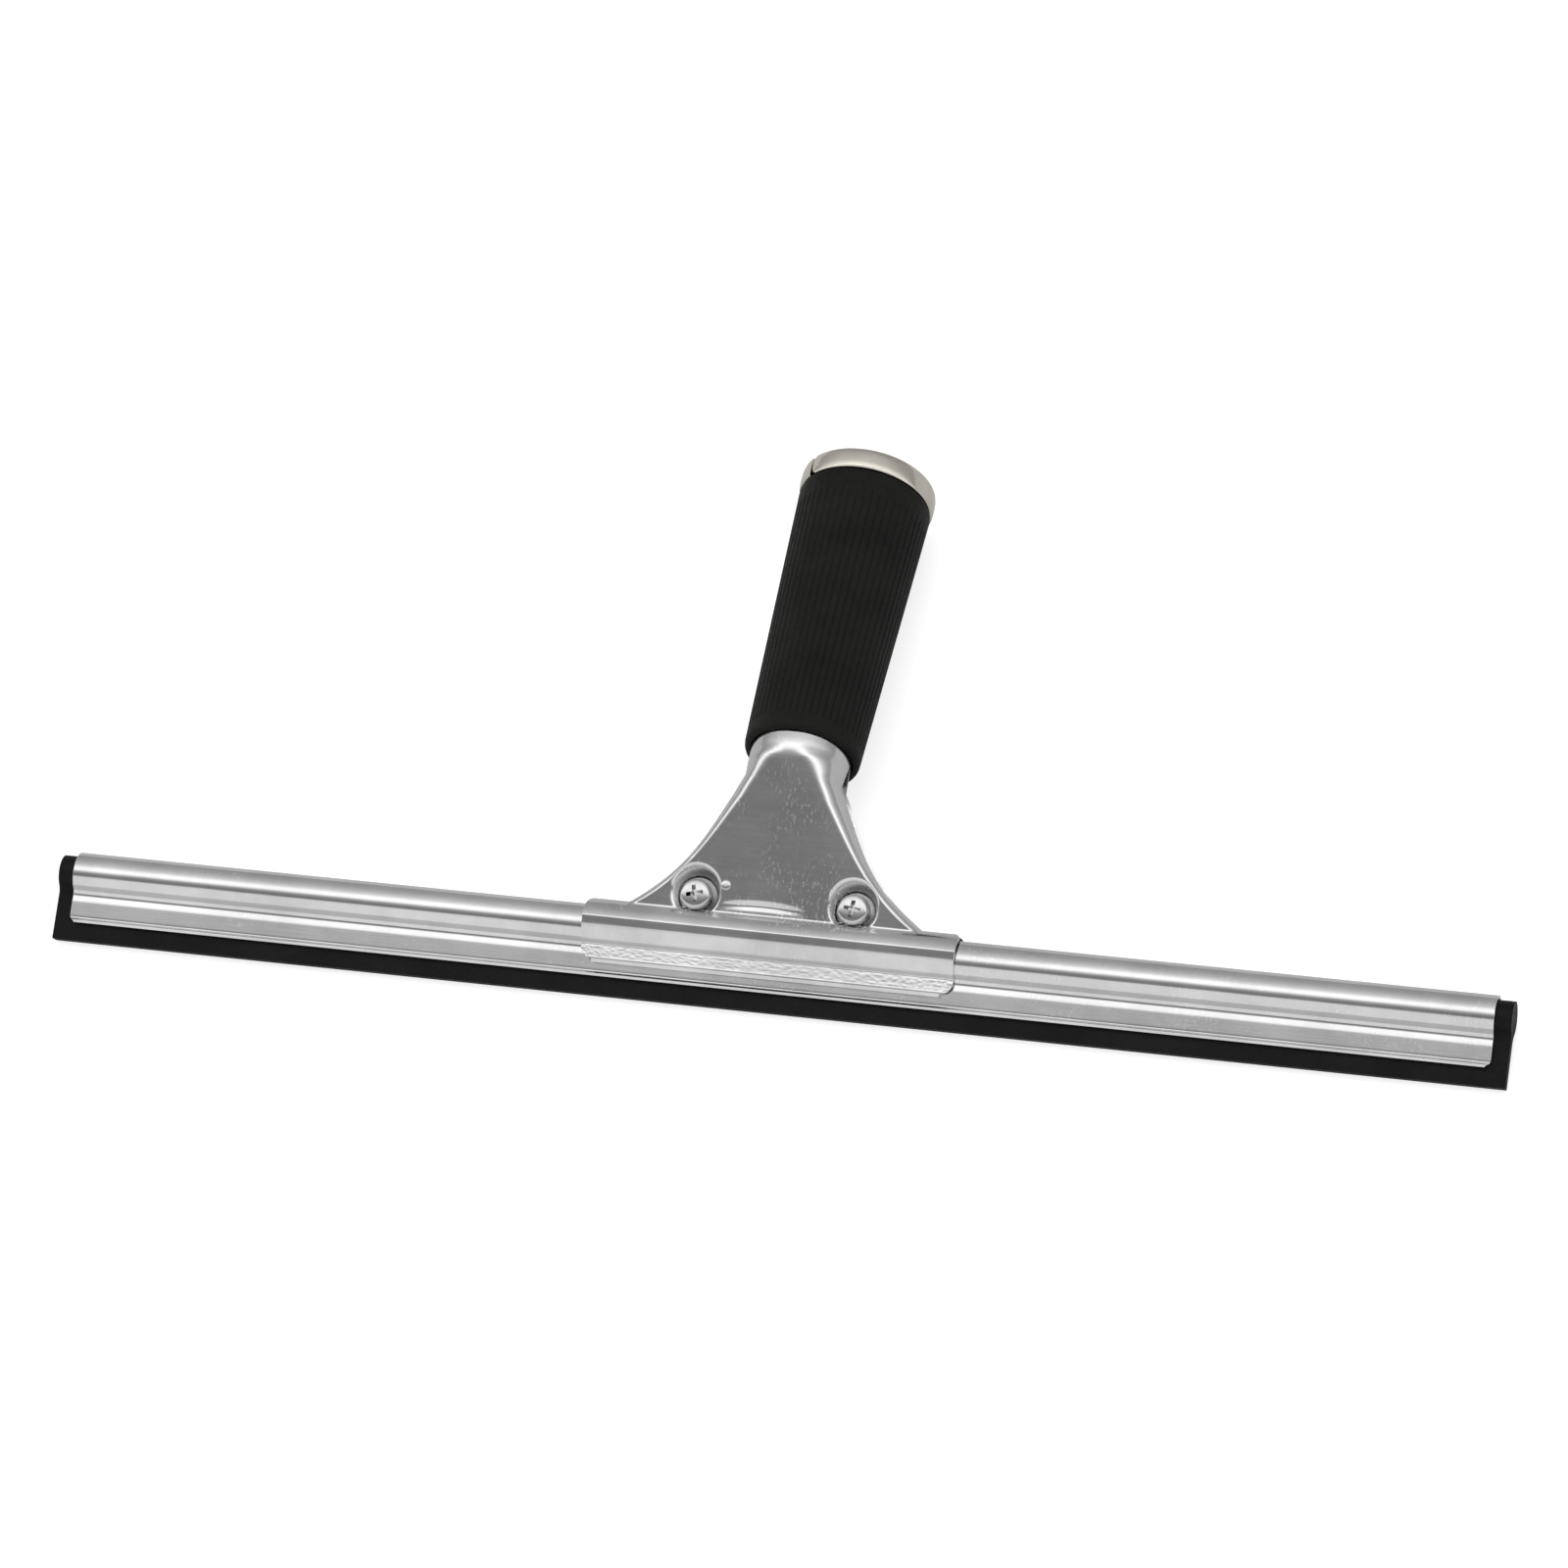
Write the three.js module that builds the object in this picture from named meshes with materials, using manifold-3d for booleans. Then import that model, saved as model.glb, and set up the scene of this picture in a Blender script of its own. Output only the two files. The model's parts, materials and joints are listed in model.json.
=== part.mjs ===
// Window cleaning squeegee: a clamp handle of two stamped half shells holds a rolled channel,
// and the channel holds a beaded rubber blade. It lies on its back, front side up.
//
// Tool frame, in millimetres: X runs along the blade, Y climbs from the wiping edge to the handle
// and Z points out of the front. The last lines turn the tool onto the surface it lies on.
import * as THREE from "three";
import { mergeVertices } from "three/addons/utils/BufferGeometryUtils.js";
import Module from "manifold-3d";

const wasm = await Module();
wasm.setup();

// ---- Driving dimensions ----------------------------------------------------------------------
const CHANNEL_LENGTH = 350;
const CHANNEL_SHEET = 0.7;
const CHANNEL_BOTTOM = 4.8;
const CHANNEL_CORNER = 3;
const LIP_FLARE = 0.9;
const LIP_HEIGHT = 1.2;

const BLADE_OVERHANG = 4;
const BLADE_THICKNESS = 3;
const BEAD_HEIGHT = 16.6;
const BEAD_RADIUS = 4.3;
const BEAD_FILLET = 3;
const BLADE_CLEARANCE = 0.3;

const SHELL_SHEET = 1.2;
const JAW_LENGTH = 91.6;
const JAW_BOTTOM = 8.2;
const JAW_CLEARANCE = 0.3;
const JAW_LIP_FLARE = 0.8;
const JAW_LIP_HEIGHT = 1.2;
const JAW_LOW_CORNER = 3;
const JAW_TOP_CORNER = 2;
const SHELL_SEAM = 0.4;

const HANDLE_LEAN = THREE.MathUtils.degToRad(21.5);
const HANDLE_RISE = 34.2; // from the jaw's top to where the handle axis leaves the blade plane
const BEND_TANGENT = 6.5;
const PANEL_GAP = 1.6; // from the jaw's top to where the sloping panel begins
const PANEL_ROOT_DEPTH = 4.5;
const PANEL_SLOPE = 0.205;
const JAW_SHOULDER = 8.3; // length of jaw left on each side of the fan
const FLARE_HEIGHT = 11.7;
const FLARE_TURN = 17;
const NECK_SPREAD = 7.7;
const NECK_LEAD = 14.1;
const NECK_DROP = 2.1; // from the handle's root back to where the fan has become a tube
const CORNER_BAND = 3; // width of the rounded edge beside the flat panel, at the jaw
const FLAT_REACH = 9;
const FLAT_TURN = 17.5;
const ARCH_HALF_WIDTH = 8;
const ARCH_RISE = 2.4; // from the handle's root to the top of the flat panel
const CROWN_FLAT = 0.4;
const RIM_HEIGHT = 3; // height of the fan's rims over the parting plane
const RIM_RISE = 9;
const RIM_FALL = 13;
const NECK_RADIUS = 12.105;
const SOCKET_TAPER = 0.03; // growth of the radius per millimetre along the handle

const GRIP_START = 5.4; // distance from the handle root along the handle axis
const GRIP_LENGTH = 74.5;
const GRIP_WALL = 1.5;
const GRIP_CLEARANCE = 0.3;
const GRIP_EDGE = 0.6;
const RING_GAP = 0.3;
const RING_HEIGHT = 5.5;
const RING_WALL = 1.5;
const RING_OVERHANG = 0.7; // reach of the ring past the end of the shells
const RING_SPLIT = 0.8;
const RING_SPLIT_ANGLE = THREE.MathUtils.degToRad(46);

const SCREW_SPACING = 38.8;
const SCREW_RADIUS = 2;
const SCREW_GAP = 0.7; // between the jaw's top and the shank
const SCREW_PROUD = 0.75; // reach of the tip past the nut
const SCREW_CHAMFER = 0.4;
const HEAD_OVERHANG = 1.75;
const HEAD_HEIGHT = 2.4;
const HEAD_EDGE = 1.1;
const CROSS_LENGTH = 4.4;
const CROSS_WIDTH = 0.9;
const CROSS_DEPTH = 1.3;
const THREAD_CLEARANCE = 0.08;
const HOLE_CLEARANCE = 0.3;
const WASHER_INSET = 0.15; // how far the washer's edge stays under the head
const WASHER_THICKNESS = 0.8;
const SEAT_GAP = 0.15;
const NUT_WALL = 1.5;
const NUT_THICKNESS = 3.2;
const POCKET_FLOOR = 2.4; // height of the pocket's floor over the blade plane
const POCKET_CLEARANCE = 0.26;
const POCKET_RISE = 5; // height of the pocket's flared wall
const POCKET_FLARE = 0.63;

const RIVET_X = -12.1;
const RIVET_RISE = 5.5; // from the jaw's top
const RIVET_RADIUS = 1.25;
const RIVET_PROUD = 0.45;
const RIVET_CHAMFER = 0.3;
const RIVET_CLEARANCE = 0.1;

const ROUND_SEGMENTS = 48;
const SMALL_SEGMENTS = 32;
const ARC_STEPS = 12;
const FILLET_STEPS = 4;
const CORNER_STEPS = 7;
const DOME_STEPS = 5;
const FAN_STATIONS = 26;
const HALVINGS = 40;
const THROUGH = 40; // reach of a cutter that goes right through
const SPARE = 2; // length that an outline has over its trimmed end
const JAW_BITE = 0.1; // how far the fan starts inside the jaw's sheet

// ---- Sizes that follow from them ---------------------------------------------------------------
const BLADE_LENGTH = CHANNEL_LENGTH + 2 * BLADE_OVERHANG;
const STEM_HALF = BLADE_THICKNESS / 2;
const FILLET_CENTRE = new THREE.Vector2(
  STEM_HALF + BEAD_FILLET,
  BEAD_HEIGHT - Math.sqrt((BEAD_RADIUS + BEAD_FILLET) ** 2 - (STEM_HALF + BEAD_FILLET) ** 2),
);
const CHANNEL_INSIDE = BLADE_CLEARANCE;
const CHANNEL_OUTSIDE = CHANNEL_INSIDE + CHANNEL_SHEET;
const JAW_INSIDE = CHANNEL_OUTSIDE + JAW_CLEARANCE;
const JAW_OUTSIDE = JAW_INSIDE + SHELL_SHEET;
const JAW_TOP = BEAD_HEIGHT + BEAD_RADIUS + JAW_OUTSIDE;
const HALF_SEAM = SHELL_SEAM / 2;

const HANDLE_ROOT = JAW_TOP + HANDLE_RISE;
const PANEL_ROOT_HEIGHT = JAW_TOP + PANEL_GAP;
const FAN_HALF_WIDTH = JAW_LENGTH / 2 - JAW_SHOULDER;
const FAN_START = BEAD_HEIGHT + BEAD_RADIUS + JAW_INSIDE + JAW_BITE;
const NECK_HEIGHT = HANDLE_ROOT - NECK_DROP;
const FLAT_TOP = HANDLE_ROOT + ARCH_RISE;
const BEND_RADIUS = BEND_TANGENT / Math.tan(HANDLE_LEAN / 2);
const BEND_START = HANDLE_ROOT - BEND_TANGENT;
const BEND_END = BEND_START + BEND_RADIUS * HANDLE_LEAN;
const RING_START = GRIP_START + GRIP_LENGTH + RING_GAP;
const RING_END = RING_START + RING_HEIGHT;
const FAN_END = BEND_END + RING_END - RING_OVERHANG - BEND_TANGENT;

const HEAD_RADIUS = SCREW_RADIUS + HEAD_OVERHANG;
const NUT_CORNER = (SCREW_RADIUS + NUT_WALL) / Math.cos(Math.PI / 6);
const POCKET_RADIUS = Math.max(HEAD_RADIUS, NUT_CORNER) + POCKET_CLEARANCE;
const SCREW_HEIGHT = JAW_TOP + SCREW_GAP + SCREW_RADIUS;
const SEAT = POCKET_FLOOR + SEAT_GAP;
const HEAD_SEAT = SEAT + WASHER_THICKNESS + SEAT_GAP;
const SCREW_TIP = -(SEAT + NUT_THICKNESS + SCREW_PROUD);
const RIVET_HEIGHT = JAW_TOP + RIVET_RISE;

// ---- Materials ---------------------------------------------------------------------------------
const steel = new THREE.MeshStandardMaterial({ color: 0xb9bbbd, roughness: 0.28, metalness: 1 });
const stamped = new THREE.MeshStandardMaterial({ color: 0xaeb0b2, roughness: 0.36, metalness: 1 });
const ringSteel = new THREE.MeshStandardMaterial({ color: 0xc9c2b4, roughness: 0.3, metalness: 1 });
const zinc = new THREE.MeshStandardMaterial({ color: 0xc4c6c8, roughness: 0.25, metalness: 1 });
const gripRubber = new THREE.MeshStandardMaterial({ color: 0x141414, roughness: 0.75, metalness: 0 });
const bladeRubber = new THREE.MeshStandardMaterial({ color: 0x0e0e0e, roughness: 0.6, metalness: 0 });

// ---- Solids ------------------------------------------------------------------------------------
function solid(geometry) {
  const bare = geometry.clone();
  bare.deleteAttribute("normal");
  bare.deleteAttribute("uv");
  const merged = mergeVertices(bare, 1e-4);
  const vertProperties = new Float32Array(merged.attributes.position.array);
  const triVerts = new Uint32Array(merged.index.array);
  return new wasm.Manifold(new wasm.Mesh({ numProp: 3, vertProperties, triVerts }));
}

function geometryOf(manifold) {
  const { vertProperties, triVerts } = manifold.getMesh();
  const geometry = new THREE.BufferGeometry();
  geometry.setAttribute("position", new THREE.BufferAttribute(vertProperties, 3));
  geometry.setIndex(new THREE.BufferAttribute(triVerts, 1));
  const flat = geometry.toNonIndexed();
  flat.computeVertexNormals();
  return flat;
}

function addPart(group, name, shape, material) {
  const geometry = shape.isBufferGeometry ? shape : geometryOf(shape);
  const mesh = new THREE.Mesh(geometry, material);
  mesh.name = name;
  group.add(mesh);
  return mesh;
}

// A prism along X, centred on X = 0, of an outline given as (Z, Y) points.
function prismAlongX(outline, length) {
  const shape = new THREE.Shape(outline);
  const geometry = new THREE.ExtrudeGeometry(shape, { depth: length, bevelEnabled: false, steps: 1 });
  geometry.translate(0, 0, -length / 2);
  geometry.rotateY(-Math.PI / 2);
  return geometry;
}

// A prism along Z from z0 to z1 of a rectangle on X = 0 with its own bottom and top corner radii.
function roundedPlate(width, bottom, top, lowRadius, topRadius, z0, z1) {
  const half = width / 2;
  const shape = new THREE.Shape();
  shape.moveTo(-half + lowRadius, bottom);
  shape.lineTo(half - lowRadius, bottom);
  shape.absarc(half - lowRadius, bottom + lowRadius, lowRadius, -Math.PI / 2, 0, false);
  shape.lineTo(half, top - topRadius);
  shape.absarc(half - topRadius, top - topRadius, topRadius, 0, Math.PI / 2, false);
  shape.lineTo(-half + topRadius, top);
  shape.absarc(-half + topRadius, top - topRadius, topRadius, Math.PI / 2, Math.PI, false);
  shape.lineTo(-half, bottom + lowRadius);
  shape.absarc(-half + lowRadius, bottom + lowRadius, lowRadius, Math.PI, 1.5 * Math.PI, false);
  const options = { depth: z1 - z0, bevelEnabled: false, curveSegments: FILLET_STEPS };
  return new THREE.ExtrudeGeometry(shape, options).translate(0, 0, z0);
}

// A cylinder or cone along Z from z0 (radius r0) to z1 (radius r1).
function roundAlongZ(r0, r1, z0, z1, segments = SMALL_SEGMENTS) {
  const geometry = new THREE.CylinderGeometry(r1, r0, z1 - z0, segments);
  geometry.rotateX(Math.PI / 2);
  return geometry.translate(0, 0, (z0 + z1) / 2);
}

// One closed body through rings of equal count; outlines holds each ring's flat (u, v) points.
function loft(rings, outlines) {
  const count = rings[0].length;
  const positions = rings.flat().flatMap((p) => [p.x, p.y, p.z]);
  const index = [];
  for (let k = 0; k + 1 < rings.length; k++) {
    for (let i = 0; i < count; i++) {
      const a = k * count + i;
      const b = k * count + ((i + 1) % count);
      index.push(a, a + count, b, b, a + count, b + count);
    }
  }
  const last = (rings.length - 1) * count;
  for (const [a, b, c] of THREE.ShapeUtils.triangulateShape(outlines[0], [])) {
    index.push(a, b, c);
  }
  for (const [a, b, c] of THREE.ShapeUtils.triangulateShape(outlines[outlines.length - 1], [])) {
    index.push(last + a, last + c, last + b);
  }
  const geometry = new THREE.BufferGeometry();
  geometry.setAttribute("position", new THREE.Float32BufferAttribute(positions, 3));
  geometry.setIndex(index);
  return geometry;
}

// ---- Keyhole outlines: the bead and stem, grown outwards by an offset --------------------------
// The front side from the stem at the fillet up to the given angle on the bead's circle.
function keyholeSide(offset, endAngle) {
  const points = [];
  const fillet = BEAD_FILLET - offset;
  const radius = BEAD_RADIUS + offset;
  const meet = Math.atan2(FILLET_CENTRE.y - BEAD_HEIGHT, FILLET_CENTRE.x);
  for (let i = 0; i <= FILLET_STEPS; i++) {
    const angle = Math.PI + (meet * i) / FILLET_STEPS;
    points.push(
      new THREE.Vector2(
        FILLET_CENTRE.x + fillet * Math.cos(angle),
        FILLET_CENTRE.y + fillet * Math.sin(angle),
      ),
    );
  }
  for (let i = 1; i <= ARC_STEPS; i++) {
    const angle = meet + ((endAngle - meet) * i) / ARC_STEPS;
    points.push(
      new THREE.Vector2(radius * Math.cos(angle), BEAD_HEIGHT + radius * Math.sin(angle)),
    );
  }
  return points;
}

function mirrored(points) {
  return points.map((p) => new THREE.Vector2(-p.x, p.y)).reverse();
}

// A whole filled keyhole down to the given height.
function keyhole(offset, bottom) {
  const side = [new THREE.Vector2(STEM_HALF + offset, bottom), ...keyholeSide(offset, Math.PI / 2)];
  return [...side, ...mirrored(side).slice(1)];
}

// ---- Rubber blade and channel ------------------------------------------------------------------
function rubberBlade() {
  return prismAlongX(keyhole(0, 0), BLADE_LENGTH);
}

// The rolled sheet, with a small outward lip along both lower edges.
function channel() {
  const half = STEM_HALF + CHANNEL_OUTSIDE;
  const lipTop = CHANNEL_BOTTOM + LIP_HEIGHT;
  const outer = [
    new THREE.Vector2(half + LIP_FLARE, CHANNEL_BOTTOM),
    new THREE.Vector2(half, lipTop),
    ...keyholeSide(CHANNEL_OUTSIDE, Math.PI / 2),
  ];
  const inner = [
    new THREE.Vector2(half - CHANNEL_SHEET + LIP_FLARE, CHANNEL_BOTTOM),
    new THREE.Vector2(half - CHANNEL_SHEET, lipTop),
    ...keyholeSide(CHANNEL_INSIDE, Math.PI / 2),
  ];
  const outline = [
    ...outer,
    ...mirrored(outer).slice(1),
    ...[...inner, ...mirrored(inner).slice(1)].reverse(),
  ];
  const top = BEAD_HEIGHT + BEAD_RADIUS + CHANNEL_OUTSIDE + SPARE;
  const trim = roundedPlate(
    CHANNEL_LENGTH, CHANNEL_BOTTOM, top, CHANNEL_CORNER, CHANNEL_SHEET, -THROUGH, THROUGH,
  );
  return solid(prismAlongX(outline, CHANNEL_LENGTH + SPARE)).intersect(solid(trim));
}

// ---- Handle shells -----------------------------------------------------------------------------
// Half-widths against distance along the parting line, each a curve in (distance, half-width).
const fanEdge = new THREE.CubicBezierCurve(
  new THREE.Vector2(FAN_START, FAN_HALF_WIDTH),
  new THREE.Vector2(FAN_START + FLARE_HEIGHT, FAN_HALF_WIDTH - FLARE_TURN),
  new THREE.Vector2(NECK_HEIGHT - NECK_LEAD, NECK_RADIUS + NECK_SPREAD),
  new THREE.Vector2(NECK_HEIGHT, NECK_RADIUS),
);
const flatEdge = new THREE.CubicBezierCurve(
  new THREE.Vector2(FAN_START, FAN_HALF_WIDTH - CORNER_BAND),
  new THREE.Vector2(FAN_START + FLAT_REACH, FAN_HALF_WIDTH - CORNER_BAND - FLAT_TURN),
  new THREE.Vector2(FLAT_TOP, ARCH_HALF_WIDTH),
  new THREE.Vector2(FLAT_TOP, CROWN_FLAT),
);

// The curve's height at a distance along it, found by halving.
function curveAt(curve, distance) {
  let low = 0;
  let high = 1;
  for (let i = 0; i < HALVINGS; i++) {
    const middle = (low + high) / 2;
    if (curve.getPoint(middle).x < distance) {
      low = middle;
    } else {
      high = middle;
    }
  }
  return curve.getPoint(low).y;
}

function socketRadius(along) {
  const neck = NECK_HEIGHT - BEND_END + BEND_TANGENT;
  return NECK_RADIUS + SOCKET_TAPER * Math.max(0, along - neck);
}

// Place and lean of the parting line at a distance along it.
function spine(distance) {
  if (distance <= BEND_START) {
    return { y: distance, z: 0, lean: 0 };
  }
  if (distance < BEND_END) {
    const lean = (distance - BEND_START) / BEND_RADIUS;
    const y = BEND_START + BEND_RADIUS * Math.sin(lean);
    return { y, z: -BEND_RADIUS * (1 - Math.cos(lean)), lean };
  }
  const along = distance - BEND_END + BEND_TANGENT;
  const y = HANDLE_ROOT + along * Math.cos(HANDLE_LEAN);
  return { y, z: -along * Math.sin(HANDLE_LEAN), lean: HANDLE_LEAN };
}

// Depth of the shell in front of the parting line: a fillet off the jaw, the sloping panel, the tube.
function shellDepth(distance) {
  const tube = socketRadius(distance - BEND_END + BEND_TANGENT);
  const panel = PANEL_ROOT_DEPTH + PANEL_SLOPE * (distance - PANEL_ROOT_HEIGHT);
  const jawRadius = BEAD_RADIUS + JAW_OUTSIDE;
  const onJaw = Math.sqrt(jawRadius ** 2 - (FAN_START - BEAD_HEIGHT) ** 2) - JAW_BITE;
  const reach = PANEL_ROOT_HEIGHT - FAN_START;
  const lift = onJaw - PANEL_ROOT_DEPTH + PANEL_SLOPE * reach;
  const below = Math.max(0, PANEL_ROOT_HEIGHT - distance) / reach;
  return Math.min(tube, panel + lift * below ** 2);
}

// Height of the shell's rim over the parting plane: the two fans stand apart between jaw and neck.
function rimHeight(distance) {
  const rise = THREE.MathUtils.smoothstep(distance, FAN_START, FAN_START + RIM_RISE);
  const fall = THREE.MathUtils.smoothstep(distance, BEND_END - RIM_FALL, BEND_END);
  return HALF_SEAM + RIM_HEIGHT * rise * (1 - fall);
}

// Half outline of the shell at one station, from the right edge over the front to the left edge.
function shellArch(distance, inset) {
  const round = distance >= NECK_HEIGHT;
  const tube = socketRadius(distance - BEND_END + BEND_TANGENT);
  const width = (round ? tube : curveAt(fanEdge, distance)) - inset;
  const flat = distance >= FLAT_TOP ? CROWN_FLAT : curveAt(flatEdge, distance);
  const depth = shellDepth(distance) - inset;
  const start = Math.asin(rimHeight(distance) / depth);
  const right = [];
  for (let i = 0; i <= CORNER_STEPS; i++) {
    const angle = start + ((Math.PI / 2 - start) * i) / CORNER_STEPS;
    const u = flat + (width - flat) * Math.cos(angle);
    right.push(new THREE.Vector2(u, depth * Math.sin(angle)));
  }
  return [...right, ...mirrored(right)];
}

// The stamped fan and half tube; filled gives the space under the sheet as well.
function shellLoft(side, filled) {
  const distances = [];
  for (let i = 0; i <= FAN_STATIONS; i++) {
    distances.push(FAN_START + ((BEND_END - FAN_START) * i) / FAN_STATIONS);
  }
  distances.push(FAN_END);
  const outlines = distances.map((distance) => {
    const outer = shellArch(distance, 0);
    if (!filled) {
      return [...outer, ...shellArch(distance, SHELL_SHEET).reverse()];
    }
    const feet = [outer[outer.length - 1], outer[0]];
    return [...outer, ...feet.map((p) => new THREE.Vector2(p.x, HALF_SEAM / 2))];
  });
  const rings = distances.map((distance, k) => {
    const at = spine(distance);
    const up = side * Math.sin(at.lean);
    const out = side * Math.cos(at.lean);
    return outlines[k].map((p) => new THREE.Vector3(p.x, at.y + p.y * up, at.z + p.y * out));
  });
  const geometry = loft(rings, outlines);
  if (side < 0) {
    const index = geometry.index.array;
    for (let i = 0; i < index.length; i += 3) {
      [index[i + 1], index[i + 2]] = [index[i + 2], index[i + 1]];
    }
  }
  return solid(geometry);
}

// The front or rear jaw before the channel's space is cut out of it.
function jawBlock(side) {
  const half = STEM_HALF + JAW_OUTSIDE;
  const radius = BEAD_RADIUS + JAW_OUTSIDE;
  const outline = [
    new THREE.Vector2(HALF_SEAM, JAW_BOTTOM),
    new THREE.Vector2(half + JAW_LIP_FLARE, JAW_BOTTOM),
    new THREE.Vector2(half, JAW_BOTTOM + JAW_LIP_HEIGHT),
    ...keyholeSide(JAW_OUTSIDE, Math.acos(HALF_SEAM / radius)),
  ];
  const placed = side > 0 ? outline : mirrored(outline);
  const trim = roundedPlate(
    JAW_LENGTH, JAW_BOTTOM, JAW_TOP, JAW_LOW_CORNER, JAW_TOP_CORNER, -THROUGH, THROUGH,
  );
  return solid(prismAlongX(placed, JAW_LENGTH + SPARE)).intersect(solid(trim));
}

// A pocket for a screw head or a nut: the cup that joins the sheet, and the recess cut into it.
function pocket(side, x) {
  const mouth = POCKET_FLOOR + POCKET_RISE;
  const flared = POCKET_RADIUS + POCKET_FLARE * POCKET_RISE;
  const place = (geometry) => {
    const turned = side > 0 ? geometry : geometry.rotateY(Math.PI);
    return solid(turned.translate(x, SCREW_HEIGHT, 0));
  };
  const back = POCKET_FLOOR - SHELL_SHEET;
  const cup = place(roundAlongZ(POCKET_RADIUS + SHELL_SHEET, flared + SHELL_SHEET, back, mouth));
  const straight = place(roundAlongZ(POCKET_RADIUS, POCKET_RADIUS, POCKET_FLOOR, THROUGH));
  const cone = place(roundAlongZ(POCKET_RADIUS, flared, POCKET_FLOOR, mouth));
  const above = new THREE.BoxGeometry(THROUGH, THROUGH, THROUGH);
  above.translate(x, PANEL_ROOT_HEIGHT + THROUGH / 2, 0);
  return { cup, recess: straight.add(cone.intersect(solid(above))) };
}

function shell(side) {
  const envelope = shellLoft(side, true);
  let body = shellLoft(side, false).add(jawBlock(side));
  let cuts = solid(prismAlongX(keyhole(JAW_INSIDE, 0), JAW_LENGTH + 2 * SPARE));
  const screwHole = SCREW_RADIUS + HOLE_CLEARANCE;
  for (const x of [-SCREW_SPACING / 2, SCREW_SPACING / 2]) {
    const { cup, recess } = pocket(side, x);
    const hole = roundAlongZ(screwHole, screwHole, -THROUGH, THROUGH);
    body = body.add(cup.intersect(envelope));
    cuts = cuts.add(recess).add(solid(hole.translate(x, SCREW_HEIGHT, 0)));
  }
  const rivetHole = RIVET_RADIUS + RIVET_CLEARANCE;
  const hole = roundAlongZ(rivetHole, rivetHole, -THROUGH, THROUGH, SMALL_SEGMENTS / 2);
  cuts = cuts.add(solid(hole.translate(RIVET_X, RIVET_HEIGHT, 0)));
  return body.subtract(cuts);
}

// ---- Grip and end ring: turned about the handle axis, which is +Y of the handle group -----------
function gripSleeve() {
  const inner = (along) => socketRadius(along) + GRIP_CLEARANCE;
  const end = GRIP_START + GRIP_LENGTH;
  const profile = [
    [inner(GRIP_START), GRIP_START],
    [inner(GRIP_START) + GRIP_WALL - GRIP_EDGE, GRIP_START],
    [inner(GRIP_START) + GRIP_WALL, GRIP_START + GRIP_EDGE],
    [inner(end) + GRIP_WALL, end],
    [inner(end), end],
    [inner(GRIP_START), GRIP_START],
  ].map(([r, y]) => new THREE.Vector2(r, y));
  return new THREE.LatheGeometry(profile, ROUND_SEGMENTS);
}

function endRing() {
  const inside = socketRadius(RING_END) + GRIP_CLEARANCE;
  const outside = inside + RING_WALL;
  const profile = [
    [inside, RING_START],
    [outside, RING_START],
    [outside, RING_END - GRIP_EDGE],
    [outside - GRIP_EDGE, RING_END],
    [inside, RING_END],
    [inside, RING_START],
  ].map(([r, y]) => new THREE.Vector2(r, y));
  const split = new THREE.BoxGeometry(RING_SPLIT, THROUGH, THROUGH);
  split.translate(0, RING_END, THROUGH / 2);
  split.rotateY(-RING_SPLIT_ANGLE);
  return solid(new THREE.LatheGeometry(profile, ROUND_SEGMENTS)).subtract(solid(split));
}

// ---- Screws, washers, nuts and rivet: each stands on Z at its own place --------------------------
function screw() {
  const dome = new THREE.QuadraticBezierCurve(
    new THREE.Vector2(HEAD_RADIUS, HEAD_SEAT + HEAD_HEIGHT - HEAD_EDGE),
    new THREE.Vector2(HEAD_RADIUS, HEAD_SEAT + HEAD_HEIGHT),
    new THREE.Vector2(0, HEAD_SEAT + HEAD_HEIGHT),
  );
  const profile = [
    new THREE.Vector2(0, SCREW_TIP),
    new THREE.Vector2(SCREW_RADIUS - SCREW_CHAMFER, SCREW_TIP),
    new THREE.Vector2(SCREW_RADIUS, SCREW_TIP + SCREW_CHAMFER),
    new THREE.Vector2(SCREW_RADIUS, HEAD_SEAT),
    new THREE.Vector2(HEAD_RADIUS, HEAD_SEAT),
    ...dome.getPoints(DOME_STEPS),
  ];
  let body = solid(new THREE.LatheGeometry(profile, SMALL_SEGMENTS).rotateX(Math.PI / 2));
  for (const [w, h] of [[CROSS_LENGTH, CROSS_WIDTH], [CROSS_WIDTH, CROSS_LENGTH]]) {
    const slot = new THREE.BoxGeometry(w, h, 2 * CROSS_DEPTH);
    body = body.subtract(solid(slot.translate(0, 0, HEAD_SEAT + HEAD_HEIGHT)));
  }
  return body;
}

function washer() {
  const bore = SCREW_RADIUS + THREAD_CLEARANCE;
  const rim = HEAD_RADIUS - WASHER_INSET;
  const profile = [
    [bore, SEAT],
    [rim, SEAT],
    [rim, SEAT + WASHER_THICKNESS],
    [bore, SEAT + WASHER_THICKNESS],
    [bore, SEAT],
  ].map(([r, y]) => new THREE.Vector2(r, y));
  return new THREE.LatheGeometry(profile, SMALL_SEGMENTS).rotateX(Math.PI / 2);
}

function nut() {
  const hex = roundAlongZ(NUT_CORNER, NUT_CORNER, -SEAT - NUT_THICKNESS, -SEAT, 6);
  hex.rotateZ(Math.PI / 6);
  const bore = SCREW_RADIUS + THREAD_CLEARANCE;
  return solid(hex).subtract(solid(roundAlongZ(bore, bore, -THROUGH, THROUGH)));
}

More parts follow.
